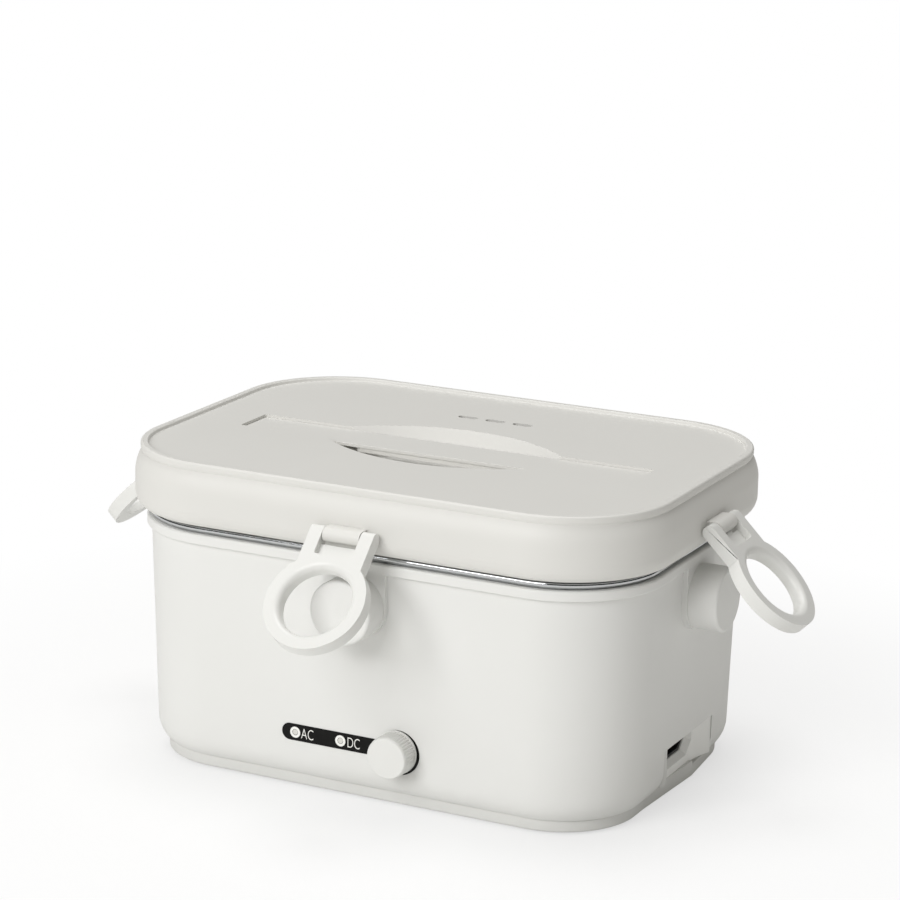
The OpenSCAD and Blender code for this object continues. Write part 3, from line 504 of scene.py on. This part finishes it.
# Control strip: a satin black printed plate that ends in a disc behind the dial and lies 0.3 mm
# proud of the wall. Two white light rings with grey lenses sit in it, and the letters for mains
# and car power are printed beside them.
DIAL_X, DIAL_Z, DIAL_R = 19, 26.4, 9.3
LIGHTS_X = (-29.7, -7.9)
RING_OUT, LENS_R = 2.45, 1.35
STRIP_END, STRIP_H, STRIP_T = -32.4, 7.4, 1.2
STRIP_Y = 3.908
STRIP_R = DIAL_R + 0.55
STRIP_X, STRIP_Z = DIAL_X + 0.6, DIAL_Z - 0.3


def satin(name, colour, roughness, ior=1.5, coat=0.0):
    """A printed or painted film with a faint orange-peel of about 1 mm."""
    made, tree, output = new_material(name)
    where = add(tree, "ShaderNodeTexCoord").outputs["Object"]
    peel = add(tree, "ShaderNodeTexNoise", {"Vector": where, "Scale": 1 / (1.0 * MM), "Detail": 1.0})
    gloss = add(tree, "ShaderNodeMapRange", {"Value": peel.outputs[0], "From Min": 0.3,
                                             "From Max": 0.7, "To Min": roughness - 0.03,
                                             "To Max": roughness + 0.03})
    bumps = add(tree, "ShaderNodeBump", {"Height": peel.outputs[0], "Strength": 0.3,
                                         "Distance": 0.01 * MM})
    surface = add(tree, "ShaderNodeBsdfPrincipled", {
        "Base Color": hex_colour(colour), "Roughness": gloss.outputs[0], "IOR": ior,
        "Coat Weight": coat, "Normal": bumps.outputs[0]})
    tree.links.new(surface.outputs[0], output.inputs["Surface"])
    return made


# Black ink with little gloss, so the strip stays dark at every angle, and a matte white ink.
black_print = satin("satin_black_print", "#0E0E0D", 0.42, 1.25)
white_print = satin("white_print", "#F0F0EC", 0.5)
strip = rod("strip", STRIP_R, (STRIP_X, STRIP_Y + STRIP_T, STRIP_Z), (STRIP_X, STRIP_Y, STRIP_Z))
combine(strip, rod("strip_end", STRIP_H / 2, (STRIP_END, STRIP_Y + STRIP_T, DIAL_Z),
                   (STRIP_END, STRIP_Y, DIAL_Z)), "UNION")
combine(strip, block("strip_bar", (STRIP_END, STRIP_Y, DIAL_Z - STRIP_H / 2),
                     (DIAL_X, STRIP_Y + STRIP_T, DIAL_Z + STRIP_H / 2)), "UNION")
soften(strip, 0.15, 2)
on_side(strip, 0)
finish_piece(strip, "base", "strip_black", black_print, "control_strip")

# A frosted grey lens: unlit, it is only a little darker than the ring round it.
lens_grey = satin("frosted_lens", "#D6D5CF", 0.4)
for x, name in zip(LIGHTS_X, ("mains", "car")):
    ring = rod(f"light_ring_{name}", RING_OUT, (x, STRIP_Y + 0.5, DIAL_Z),
               (x, STRIP_Y - 0.12, DIAL_Z))
    combine(ring, rod("ring_hole", LENS_R, (x, STRIP_Y - 2, DIAL_Z), (x, STRIP_Y + 2, DIAL_Z)),
            "DIFFERENCE")
    soften(ring, 0.08, 2)
    on_side(ring, 0)
    finish_piece(ring, "base", "light_lens", white_print)
    lens = rod(f"light_lens_{name}", LENS_R - 0.01, (x, STRIP_Y + 0.9, DIAL_Z),
               (x, STRIP_Y - 0.06, DIAL_Z))
    soften(lens, 0.3, 3)
    on_side(lens, 0)
    finish_piece(lens, "base", "light_lens", lens_grey,
                 *(["indicator_lenses"] if name == "mains" else []))

# The letters are thin type, scaled to the width and height that they have on the strip.
LETTER_Z, LETTER_T = (24.15, 28.65), 0.06
LETTER_X = {"AC": (-26.8, -20.9), "DC": (-4.4, 1.4)}
STROKE_THIN = -0.012
for text, ends in LETTER_X.items():
    bpy.ops.object.select_all(action="DESELECT")
    bpy.ops.object.text_add()
    word = bpy.context.object
    word.data.body = text
    word.data.extrude = 0.01
    word.data.offset = STROKE_THIN
    bpy.ops.object.convert(target="MESH")
    word = bpy.context.object
    word.name = f"letters_{text}"
    points = word.data.vertices
    low = [min(p.co[i] for p in points) for i in range(3)]
    high = [max(p.co[i] for p in points) for i in range(3)]
    for p in points:
        u, v, w = ((p.co[i] - low[i]) / (high[i] - low[i]) for i in range(3))
        p.co = (MM * (ends[0] + u * (ends[1] - ends[0])), MM * (STRIP_Y - LETTER_T * w),
                MM * (LETTER_Z[0] + v * (LETTER_Z[1] - LETTER_Z[0])))
    outward(word)
    on_side(word, 0)
    finish_piece(word, "base", "light_lens", white_print)


# Dial: a moulded knob with a plain flat face and fine ribs for grip that fade out before the
# face, pressed on the shaft of the rotary switch. The strip's disc shows as a dark crescent at
# its right.
RIBS, RIB_DEEP = 46, 0.5
DIAL_BACK, DIAL_L = STRIP_Y - 0.3, 10
RIB_L, FADE_L = DIAL_L - 2.4, 1.2
FLANGE_R, FLANGE_T = DIAL_R + 0.2, 0.9
FACE_ROUNDING = ((0.5, 0.985), (0.4, 0.97), (0.3, 0.95))
bpy.ops.mesh.primitive_circle_add(vertices=2 * RIBS, radius=DIAL_R * MM, fill_type="NGON")
dial = bpy.context.object
dial.name = "knob"
for i, point in enumerate(dial.data.vertices):
    if i % 2:
        point.co *= 1 - RIB_DEEP / DIAL_R
only(dial, "EDIT")
for rise in (RIB_L, FADE_L):
    bpy.ops.mesh.extrude_region_move(TRANSFORM_OT_translate={"value": (0, 0, rise * MM)})
bpy.ops.object.mode_set(mode="OBJECT")
CORE_R = (DIAL_R - 0.2) * MM
for point in dial.data.vertices:
    if point.co.z > (RIB_L + FADE_L / 2) * MM:
        point.co.xy = point.co.xy.normalized() * CORE_R
only(dial, "EDIT")
bpy.ops.mesh.select_all(action="DESELECT")
bpy.ops.object.mode_set(mode="OBJECT")
for face in dial.data.polygons:
    face.select = face.normal.z > 0.9
bpy.ops.object.mode_set(mode="EDIT")
bpy.ops.mesh.select_mode(type="FACE")
for rise, shrink in FACE_ROUNDING:
    bpy.ops.mesh.extrude_region_move(TRANSFORM_OT_translate={"value": (0, 0, rise * MM)})
    bpy.ops.transform.resize(value=(shrink, shrink, 1), center_override=(0, 0, 0))
bpy.ops.object.mode_set(mode="OBJECT")
outward(dial)
combine(dial, rod("flange", FLANGE_R, (0, 0, 0), (0, 0, FLANGE_T), vertices=128), "UNION")
shade(dial, 40)
dial.data.transform(Matrix.Translation((DIAL_X * MM, DIAL_BACK * MM, DIAL_Z * MM))
                    @ Matrix.Rotation(math.pi / 2, 4, "X"))
on_side(dial, 0)

# The plastic of the parts that are touched: the same white, glossier and with a shallower grain.
satin_pp = moulded("moulded_plastic_satin", "#E3E3E0", "#E0E0DD", 0.36, 0.6, 0.008)
finish_piece(dial, "dial", "latch_plastic", satin_pp, "dial")


# Pot: deep-drawn stainless steel with a rolled and polished rim that rests on the body. The
# inside keeps faint drawing lines, and the rim is bright enough to mirror the table.
RIM_TOP = BODY_TOP + 3.5
POT_FLOOR, POT_IN, POT_T = 45, 12, 0.8
POT_R, SHOULDER_R = 8, 1.8
ROLL, ROLL_IN = 1.6, 1.3
pot = swept("steel_pot", [
    (MIDDLE_IN, POT_FLOOR), *reversed(arc(POT_IN + POT_R, POT_FLOOR + POT_R, POT_R, 180, 270, 8)),
    *arc(POT_IN - SHOULDER_R, RIM_TOP - SHOULDER_R, SHOULDER_R, 0, 90, 6),
    *arc(ROLL_IN + ROLL, RIM_TOP - ROLL, ROLL, 90, 330, 16),
    *arc(POT_IN - SHOULDER_R, RIM_TOP - SHOULDER_R, SHOULDER_R - POT_T, 90, 0, 5),
    *arc(POT_IN + POT_R, POT_FLOOR + POT_R, POT_R + POT_T, 180, 270, 8),
    (MIDDLE_IN, POT_FLOOR - POT_T)], closed=False)
shade(pot, 40)


def steel(name, colour, roughness, stretch, scale, depth):
    """Steel with fine lines: noise stretched along the way the metal was drawn or brushed."""
    made, tree, output = new_material(name)
    where = add(tree, "ShaderNodeTexCoord").outputs["Object"]
    along = add(tree, "ShaderNodeMapping", {"Vector": where, "Scale": stretch})
    lines = add(tree, "ShaderNodeTexNoise", {"Vector": along.outputs[0], "Scale": 1 / (scale * MM),
                                             "Detail": 2.0})
    gloss = add(tree, "ShaderNodeMapRange", {"Value": lines.outputs[0], "From Min": 0.3,
                                             "From Max": 0.7, "To Min": roughness * 0.7,
                                             "To Max": roughness * 1.4})
    bumps = add(tree, "ShaderNodeBump", {"Height": lines.outputs[0], "Strength": 0.4,
                                         "Distance": depth * MM})
    surface = add(tree, "ShaderNodeBsdfPrincipled", {
        "Base Color": hex_colour(colour), "Metallic": 1.0, "Roughness": gloss.outputs[0],
        "Normal": bumps.outputs[0]})
    tree.links.new(surface.outputs[0], output.inputs["Surface"])
    return made


# Bright steel with faint lines that run up the wall, the way the pot was drawn.
drawn_steel = steel("stainless_steel_drawn", "#C6C8CA", 0.1, (1, 1, 0.06), 0.5, 0.0015)
finish_piece(pot, "pot", "pot_steel", drawn_steel, "pot")


# Inner lid: a clear plate clipped in a soft silicone ring. The ring steps up in three ridges,
# has a thumb lobe at each end for lifting it out, and a scalloped bite beside each lobe.
GASKET_Z = RIM_TOP + 0.3
GASKET_IN = 5.2
PANEL_T = 1.6
PANEL_TOP = GASKET_Z - 4.2
PANEL_LOW = PANEL_TOP - PANEL_T
SKIRT = POT_IN + 0.5
g, z = GASKET_IN, GASKET_Z
seal = swept("seal", [
    (g + 0.3, z), (g, z + 0.4), (g, z + 2.2), (g + 0.2, z + 2.8), (g + 0.7, z + 3.3),
    (g + 1.3, z + 3.5), (g + 1.8, z + 3.4), (g + 2.1, z + 3.05), (g + 2.7, z + 3),
    (g + 2.9, z + 3.5), (g + 3.2, z + 4.05), (g + 3.8, z + 4.3), (g + 4.5, z + 4.25),
    (g + 4.9, z + 3.85), (g + 5.5, z + 3.8), (g + 5.7, z + 4.4), (g + 6.0, z + 4.95),
    (g + 6.6, z + 5.2), (g + 7.4, z + 5.2), (SKIRT + 0.8, z + 4.9), (SKIRT + 1.1, z + 4.2),
    (SKIRT + 1.2, PANEL_TOP + 1.4), (SKIRT + 1.5, PANEL_TOP + 0.95),
    (SKIRT + 2.8, PANEL_TOP + 0.7), (SKIRT + 3.1, PANEL_TOP + 0.35), (SKIRT + 3.1, PANEL_TOP),
    (SKIRT + 1.9, PANEL_TOP), (SKIRT + 1.9, PANEL_LOW), (SKIRT + 3.1, PANEL_LOW),
    (SKIRT + 2.9, PANEL_LOW - 0.5), (SKIRT + 2.4, PANEL_LOW - 0.75), (SKIRT + 0.9, PANEL_LOW - 0.8),
    (SKIRT + 0.3, PANEL_LOW - 0.6), (SKIRT, PANEL_LOW - 0.2), (SKIRT, z)])
LOBE_R, LOBE_OUT, LOBE_H, LOBE_HALF = 100, 3, 2, 50
BITE_R, BITE_IN, BITE_H = 40, 4.8, 8
for end in (-1, 1):
    middle = end * (SIDE_X - g + LOBE_OUT - LOBE_R)
    lobe = rod("lobe", LOBE_R, (middle, 0, z + 0.02), (middle, 0, z + LOBE_H), vertices=360)
    tip = sorted((end * (SIDE_X - g - 4), end * (SIDE_X - g + LOBE_OUT + 1)))
    combine(lobe, block("lobe_part", (tip[0], -LOBE_HALF, z - 1),
                        (tip[1], LOBE_HALF, z + LOBE_H + 1)), "INTERSECT")
    combine(seal, lobe, "UNION")
    middle = end * (SIDE_X - g - BITE_IN + BITE_R)
    combine(seal, rod("bite", BITE_R, (middle, 0, z + LOBE_H + 0.01), (middle, 0, z + BITE_H),
                      vertices=180), "DIFFERENCE")
soften(seal, 0.35, 3, 50)


def rubbery(name, colour, shade_colour, roughness, sheen, subsurface, radius):
    """Silicone or rubber: soft light under the skin, a dusty sheen and a faint mould texture."""
    made, tree, output = new_material(name)
    where = add(tree, "ShaderNodeTexCoord").outputs["Object"]
    drift = add(tree, "ShaderNodeTexNoise", {"Vector": where, "Scale": 60.0, "Detail": 3.0})
    tone = add(tree, "ShaderNodeMix", {"Factor": drift.outputs[0], "A": hex_colour(colour),
                                       "B": hex_colour(shade_colour)}, data_type="RGBA")
    fine = add(tree, "ShaderNodeTexNoise", {"Vector": where, "Scale": 1 / (0.4 * MM),
                                            "Detail": 2.0})
    bumps = add(tree, "ShaderNodeBump", {"Height": fine.outputs[0], "Strength": 0.4,
                                         "Distance": 0.01 * MM})
    surface = add(tree, "ShaderNodeBsdfPrincipled", {
        "Base Color": tone.outputs["Result"], "Roughness": roughness, "IOR": 1.41,
        "Subsurface Weight": subsurface, "Subsurface Radius": radius,
        "Subsurface Scale": 1.0, "Sheen Weight": sheen, "Sheen Roughness": 0.4,
        "Normal": bumps.outputs[0]})
    tree.links.new(surface.outputs[0], output.inputs["Surface"])
    return made


# Warm grey silicone that lets a little light under its skin and looks softer than the plastic.
silicone = rubbery("silicone_warm_grey", "#CBC8C3", "#C4C1BC", 0.42, 0.15, 0.25,
                   (0.002, 0.0018, 0.0016))
finish_piece(seal, "inner_lid", "silicone", silicone, "inner_lid_gasket")

# The clear plate, its edges broken by a small chamfer, with a long hole for the plug's stem.
PANEL_IN, PANEL_EDGE = POT_IN + 2.4, 0.3
HOLE_X, HOLE_Y = 12, 4
panel = swept("clear_plate", [
    (MIDDLE_IN, PANEL_TOP), (PANEL_IN + PANEL_EDGE, PANEL_TOP), (PANEL_IN, PANEL_TOP - PANEL_EDGE),
    (PANEL_IN, PANEL_LOW + PANEL_EDGE), (PANEL_IN + PANEL_EDGE, PANEL_LOW),
    (MIDDLE_IN, PANEL_LOW)], closed=False)
combine(panel, block("plug_hole", (-HOLE_X, -HOLE_Y, PANEL_LOW - 1), (HOLE_X, HOLE_Y, PANEL_TOP + 1),
                     corner=HOLE_Y - 0.01), "DIFFERENCE")
shade(panel)

# Clear polypropylene: see-through, with a slightly uneven gloss from the flow of the melt.
made, tree, output = new_material("clear_polypropylene")
where = add(tree, "ShaderNodeTexCoord").outputs["Object"]
flow = add(tree, "ShaderNodeTexNoise", {"Vector": where, "Scale": 40.0, "Detail": 2.0})
haze = add(tree, "ShaderNodeMapRange", {"Value": flow.outputs[0], "From Min": 0.3, "From Max": 0.7,
                                        "To Min": 0.04, "To Max": 0.1})
surface = add(tree, "ShaderNodeBsdfPrincipled", {
    "Base Color": hex_colour("#F1F3F3"), "Roughness": haze.outputs[0], "IOR": 1.49,
    "Transmission Weight": 1.0})
tree.links.new(surface.outputs[0], output.inputs["Surface"])
finish_piece(panel, "inner_lid", "clear_panel", made, "inner_lid_panel")


# Vent plug: a soft oval button of the same silicone in the middle of the clear plate. It is
# pulled up to let steam out; a D-shaped groove and a small notch help the finger find it.
PLUG_Z = PANEL_TOP + 0.3
PLUG_X, PLUG_Y, PLUG_H = 27, 13, 8.3
PLUG_ROUND, PLUG_RIM, RIM_T = 2.6, 6, 0.8
GROOVE_IN, GROOVE_DEEP = 4.5, 1.6
ISLAND_LOW, ISLAND_HIGH = (-20, -5.6), (20, 7.2)
DIMPLE_X, DIMPLE_H = -9, 5.4
STEM_X, STEM_Y = HOLE_X - 0.3, HOLE_Y - 0.3


def oval(name, half_x, half_y, low_z, high_z, segments=6):
    """A block whose two ends are half round."""
    return block(name, (-half_x, -half_y, low_z), (half_x, half_y, high_z), corner=half_y - 0.02,
                 segments=segments)


plug = oval("plug", PLUG_X, PLUG_Y, PLUG_Z, PLUG_Z + PLUG_H, segments=20)
round_edges(plug, PLUG_ROUND, 6, lambda a, b: min(a.z, b.z) > PLUG_Z + PLUG_H - 0.1)
groove = oval("groove", PLUG_X - GROOVE_IN, PLUG_Y - GROOVE_IN, PLUG_Z + PLUG_H - GROOVE_DEEP,
              PLUG_Z + PLUG_H + 0.7, segments=16)
combine(groove, block("island", (*ISLAND_LOW, PLUG_Z + 6), (*ISLAND_HIGH, PLUG_Z + 9.5), corner=5.5,
                      segments=12), "DIFFERENCE")
combine(plug, groove, "DIFFERENCE")
combine(plug, rod("dimple", 1.6, (DIMPLE_X, 0.6 - PLUG_Y, PLUG_Z + DIMPLE_H),
                  (DIMPLE_X, -PLUG_Y - 3, PLUG_Z + DIMPLE_H), r_end=2.4, vertices=32), "DIFFERENCE")
combine(plug, oval("rim", PLUG_X + PLUG_RIM, PLUG_Y + PLUG_RIM, PLUG_Z, PLUG_Z + RIM_T,
                   segments=24), "UNION")
combine(plug, oval("stem", STEM_X, STEM_Y, PANEL_LOW - 2.5, PLUG_Z + 0.5), "UNION")
soften(plug, 0.3, 3, 50)
finish_piece(plug, "vent_plug", "silicone", silicone, "vent_plug")


# Lid: a moulded polypropylene hood. A rounded skirt carries four hinge lugs, the top has a bead
# round its edge, and a sloping eye-shaped recess leaves room for fingers under the grip.
LID_H, LID_T = 28, 3
LID_Z = RIM_TOP + 0.5
LID_TOP = LID_Z + LID_H
FACE = LID_TOP - 1.6
CEILING = FACE - LID_T
BULGE = 5
FOOT_IN, FOOT_RISE = 0.2, 7
SKIRT_TOP = LID_TOP - 13.5
SLOPE_IN, SLOPE_RISE = 2.9, 9.8
GRIP_Y, GRIP_L, GRIP_W = -5, 189, 21.6
HINGE_Z, HINGE_OUT = LID_Z + 8.5, 9
LUG_W, LUG_R = 17, 3.3
foot_curve = [(FOOT_IN - (BULGE + FOOT_IN) * math.sin(math.radians(t)),
               LID_Z + FOOT_RISE * (1 - math.cos(math.radians(t)))) for t in range(0, 91, 9)]
slope = [(-BULGE + SLOPE_IN * u * u, SKIRT_TOP + SLOPE_RISE * u) for u in (i / 8 for i in range(9))]
lid = swept("lid", [
    (MIDDLE_IN, FACE), (1.5, FACE), (1.05, FACE + 0.12), (0.85, FACE + 0.5),
    *arc(0.1, LID_TOP - 0.7, 0.7, 0, 90, 5), *arc(-1.6, LID_TOP - 1, 1, 90, 180, 6),
    (-2.6, LID_TOP - 2.3), (-2.45, LID_TOP - 2.9), (-2.2, LID_TOP - 3.35),
    *reversed(slope), *reversed(foot_curve), (0.7, LID_Z), (1.2, LID_Z + 0.5), (1.2, LID_Z + 1),
    (-BULGE + 3.6, LID_Z + 3), (-BULGE + 2.2, LID_Z + 7), (-BULGE + 2.2, LID_TOP - 14),
    (-BULGE + 3, LID_TOP - 10), (0, CEILING - 2), (0.2, CEILING - 1.2), (1.2, CEILING),
    (MIDDLE_IN, CEILING)], closed=False)

EYE_R, EYE_APART, EYE_DEEP, EYE_SLOPE = 75.5, 44.5, 12, 10 / 12


def eye(name, grow, depth, top):
    """The eye-shaped space of the finger recess: two sloping round walls that cross."""
    halves = [rod(name, EYE_R + grow - EYE_SLOPE * (depth - 0.01),
                  (0, GRIP_Y + end * EYE_APART, top - depth), (0, GRIP_Y + end * EYE_APART, top),
                  r_end=EYE_R + grow, vertices=360) for end in (-1, 1)]
    combine(halves[0], halves[1], "INTERSECT")
    return halves[0]


# The top thickens under the recess and the channel before they are cut, so no wall gets thin.
CHANNEL_FIT, CHANNEL_DEEP = 0.2, 2.7
CHANNEL_X, CHANNEL_Y = GRIP_L / 2 + CHANNEL_FIT, GRIP_W / 2 + CHANNEL_FIT
BACKING_X, BACKING_Y = 98, 14
combine(lid, eye("pan", 2, EYE_DEEP + 1, FACE - 1), "UNION")
combine(lid, block("channel_back", (-BACKING_X, GRIP_Y - BACKING_Y, CEILING - 1.5),
                   (BACKING_X, GRIP_Y + BACKING_Y, CEILING + 1)), "UNION")
for side in range(4):
    lug = rod("lug", LUG_R, (-LUG_W / 2, -HINGE_OUT, HINGE_Z), (LUG_W / 2, -HINGE_OUT, HINGE_Z),
              vertices=48)
    combine(lug, block("lug_root", (-LUG_W / 2, -HINGE_OUT, HINGE_Z - LUG_R),
                       (LUG_W / 2, -BULGE + 1.1, HINGE_Z + LUG_R)), "UNION")
    on_side(lug, side)
    combine(lid, lug, "UNION")
combine(lid, eye("recess", 0, EYE_DEEP, FACE + 0.01), "DIFFERENCE")
combine(lid, block("channel", (-CHANNEL_X, GRIP_Y - CHANNEL_Y, FACE - CHANNEL_DEEP),
                   (CHANNEL_X, GRIP_Y + CHANNEL_Y, FACE + 1), corner=1.2), "DIFFERENCE")

# Three slots let steam out behind the grip.
SLOT_Y, SLOT_L, SLOT_W, SLOT_PITCH = 47, 9.5, 3.6, 13.5
for x in (-SLOT_PITCH, 0, SLOT_PITCH):
    combine(lid, block("steam_slot", (x - SLOT_L / 2, SLOT_Y - SLOT_W / 2, CEILING - 1),
                       (x + SLOT_L / 2, SLOT_Y + SLOT_W / 2, FACE + 1), corner=SLOT_W / 2 - 0.01),
            "DIFFERENCE")
soften(lid, 0.5, 3, 42)

# The lid's polypropylene: a warmer white than the body's, made slightly darker as painted shade for
# the lid's skirt.
lid_pp_painted_shade = moulded("polypropylene_lid_painted_shade", "#DCDBD7", "#D9D8D4", 0.5, 0.5, 0.02)
finish_piece(lid, "lid", "lid_plastic", lid_pp_painted_shade, "lid_shell")


# Grip: a flat bar let into a channel across the lid. Its top lies a little below the lid's face
# and its thicker middle spans the recess, so that fingers and thumb meet under it.
GRIP_TOP = FACE - 1.3
GRIP_LOW = FACE - CHANNEL_DEEP
MIDDLE_L, MIDDLE_LOW = 76, GRIP_TOP - 3.6
grip = block("grip_bar", (-GRIP_L / 2, GRIP_Y - GRIP_W / 2, GRIP_LOW),
             (GRIP_L / 2, GRIP_Y + GRIP_W / 2, GRIP_TOP), corner=1.2)
middle = block("grip_middle", (-MIDDLE_L / 2, GRIP_Y - GRIP_W / 2 + 1, MIDDLE_LOW),
               (MIDDLE_L / 2, GRIP_Y + GRIP_W / 2 - 1, GRIP_TOP - 1), corner=3)
combine(grip, middle, "UNION")
soften(grip, 0.5, 3, 50)
# The grip takes the lid's plastic, painted shade included.
finish_piece(grip, "lid", "lid_plastic", lid_pp_painted_shade, "grip")


# Ring latches: each is one moulded plate, a ring for the fingertip with two arms that clip
# either side of a lug on the lid. The hole's front edge is broadly rounded, and a shallow pocket
# lies below the gap for the lug.
ARM_L, LATCH_T, LATCH_W = HINGE_Z - POST_Z, 6, 29.5
RING_R, HOLE_R, HOLE_ROUND = 22.2, 15.5, 2.8
NECK_R, ARM_ROUND = 4.5, 2.9
GAP_X, GAP_LOW = LUG_W / 2 + 0.3, -4.8
POCKET_LOW, POCKET_DEEP = -10.8, 3.2
OPEN = math.radians(45)
plate = rod("latch_plate", RING_R, (0, LATCH_T / 2, -ARM_L), (0, -LATCH_T / 2, -ARM_L),
            vertices=160)
arms = block("arms", (-LATCH_W / 2, -LATCH_T / 2, -ARM_L + 12),
             (LATCH_W / 2, LATCH_T / 2, LUG_R))
round_edges(arms, ARM_ROUND, 6, lambda a, b: min(a.z, b.z) > LUG_R - 0.1 and abs(a.x - b.x) > 1)
combine(plate, arms, "UNION")
NECK_Z = -ARM_L + math.sqrt(RING_R ** 2 - (LATCH_W / 2) ** 2)
round_edges(plate, NECK_R, 8, lambda a, b: abs(a.y - b.y) > 1
            and abs(abs(a.x) - LATCH_W / 2) < 0.3 and abs(a.z - NECK_Z) < 0.4)
outward(plate)
combine(plate, rod("hole", HOLE_R, (0, LATCH_T, -ARM_L), (0, -LATCH_T, -ARM_L), vertices=160),
        "DIFFERENCE")
round_edges(plate, HOLE_ROUND, 8, lambda a, b: all(
    abs(p.y + LATCH_T / 2) < 0.01 and abs(math.hypot(p.x, p.z + ARM_L) - HOLE_R) < 0.05
    for p in (a, b)))
combine(plate, block("lug_gap", (-GAP_X, -LATCH_T, GAP_LOW), (GAP_X, LATCH_T, 8)), "DIFFERENCE")
pocket = block("pocket", (-GAP_X, -LATCH_T, POCKET_LOW),
               (GAP_X, -LATCH_T / 2 + POCKET_DEEP, GAP_LOW + 0.8))
round_edges(pocket, 1, 4, lambda a, b: abs(a.y - b.y) > 1 and max(a.z, b.z) < POCKET_LOW + 0.1)
combine(plate, pocket, "DIFFERENCE")
outward(plate)
soften(plate, 0.45, 3, 50)
for side, name in enumerate(SIDES):
    latch = bpy.data.objects.new(f"ring_latch_{name}", plate.data.copy())
    bpy.context.scene.collection.objects.link(latch)
    latch.data.transform(Matrix.Translation((0, -HINGE_OUT * MM, HINGE_Z * MM))
                         @ Matrix.Rotation(-OPEN, 4, "X"))
    on_side(latch, side)
    finish_piece(latch, f"{name}_latch", "latch_plastic", satin_pp, f"latch_{name}")
bpy.data.objects.remove(plate)


# Inside pieces that the CAD model already shapes: the heated well, its aluminium plate and
# heaters, the switch, board and wires. They show when the pot or the lids are lifted out.
# Plastics: a greyer, matte one that bears heat, and black nylon for the switch and the socket.
well_pp = moulded("heat_proof_plastic", "#D6D5D0", "#D0CFCA", 0.5, 0.6, 0.02)
dark_pa = moulded("black_nylon", "#1D1D1E", "#232324", 0.5, 0.5, 0.02)

# Metals: grainy cast aluminium, cool grey plated steel and yellow turned brass.
cast_alu = steel("aluminium_cast", "#B9BBBD", 0.34, (1, 1, 1), 0.8, 0.01)
zinc_steel = steel("steel_zinc_plated", "#A9ABAD", 0.26, (1, 1, 0.2), 0.4, 0.004)
brass = steel("brass_turned", "#C39A52", 0.22, (0.3, 1, 1), 0.3, 0.004)

# Dull dark rubber for the feet, and a brown sheath on the wires.
rubber = rubbery("rubber_dark_grey", "#2C2C2C", "#343434", 0.6, 0.1, 0.0, (0.001, 0.001, 0.001))
sheath = rubbery("silicone_wire_sheath", "#8C5A30", "#7D5029", 0.45, 0.1, 0.0,
                 (0.001, 0.001, 0.001))

# Glossy pale resin for the light sources, and a dull cream ceramic for the fuse.
clear_lamp = satin("led_epoxy", "#F4F1DA", 0.15, 1.5, 0.5)
fuse_case = satin("fuse_ceramic", "#D9C9A0", 0.45)

# Green solder mask over a pattern of tracks about 5 mm long.
made, tree, output = new_material("circuit_board_solder_mask")
where = add(tree, "ShaderNodeTexCoord").outputs["Object"]
tracks = add(tree, "ShaderNodeTexBrick", {
    "Vector": where, "Color1": hex_colour("#2F6B3C"), "Color2": hex_colour("#377845"),
    "Mortar": hex_colour("#5E9A5A"), "Scale": 300.0, "Mortar Size": 0.06, "Row Height": 0.9,
    "Brick Width": 1.6})
surface = add(tree, "ShaderNodeBsdfPrincipled", {
    "Base Color": tracks.outputs["Color"], "Roughness": 0.28, "IOR": 1.55, "Coat Weight": 0.4})
tree.links.new(surface.outputs[0], output.inputs["Surface"])
board_mask = made

INSIDE = {
    "rubber_feet": rubber, "base_screws": zinc_steel, "heating_well": well_pp,
    "heat_plate": cast_alu, "ptc_heater_mains": cast_alu, "ptc_heater_car": cast_alu,
    "heater_clamp": zinc_steel, "clamp_screws": zinc_steel, "thermostat": dark_pa,
    "thermal_fuse": fuse_case, "control_board": board_mask, "indicator_leds": clear_lamp,
    "rotary_switch": dark_pa, "inlet_socket": dark_pa, "inlet_pins": brass, "wire_live": sheath,
    "wire_switched": sheath, "wire_return": sheath, "dial_shaft": zinc_steel,
    "lid_liner": well_pp, "press_ring": well_pp, "lid_screws": zinc_steel,
    **{f"hinge_pin_{name}": zinc_steel for name in SIDES},
}
for name, material in INSIDE.items():
    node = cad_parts[name]
    if not node.material_slots:
        node.data.materials.append(material)
    for slot in node.material_slots:
        slot.link = "OBJECT"
        slot.material = material
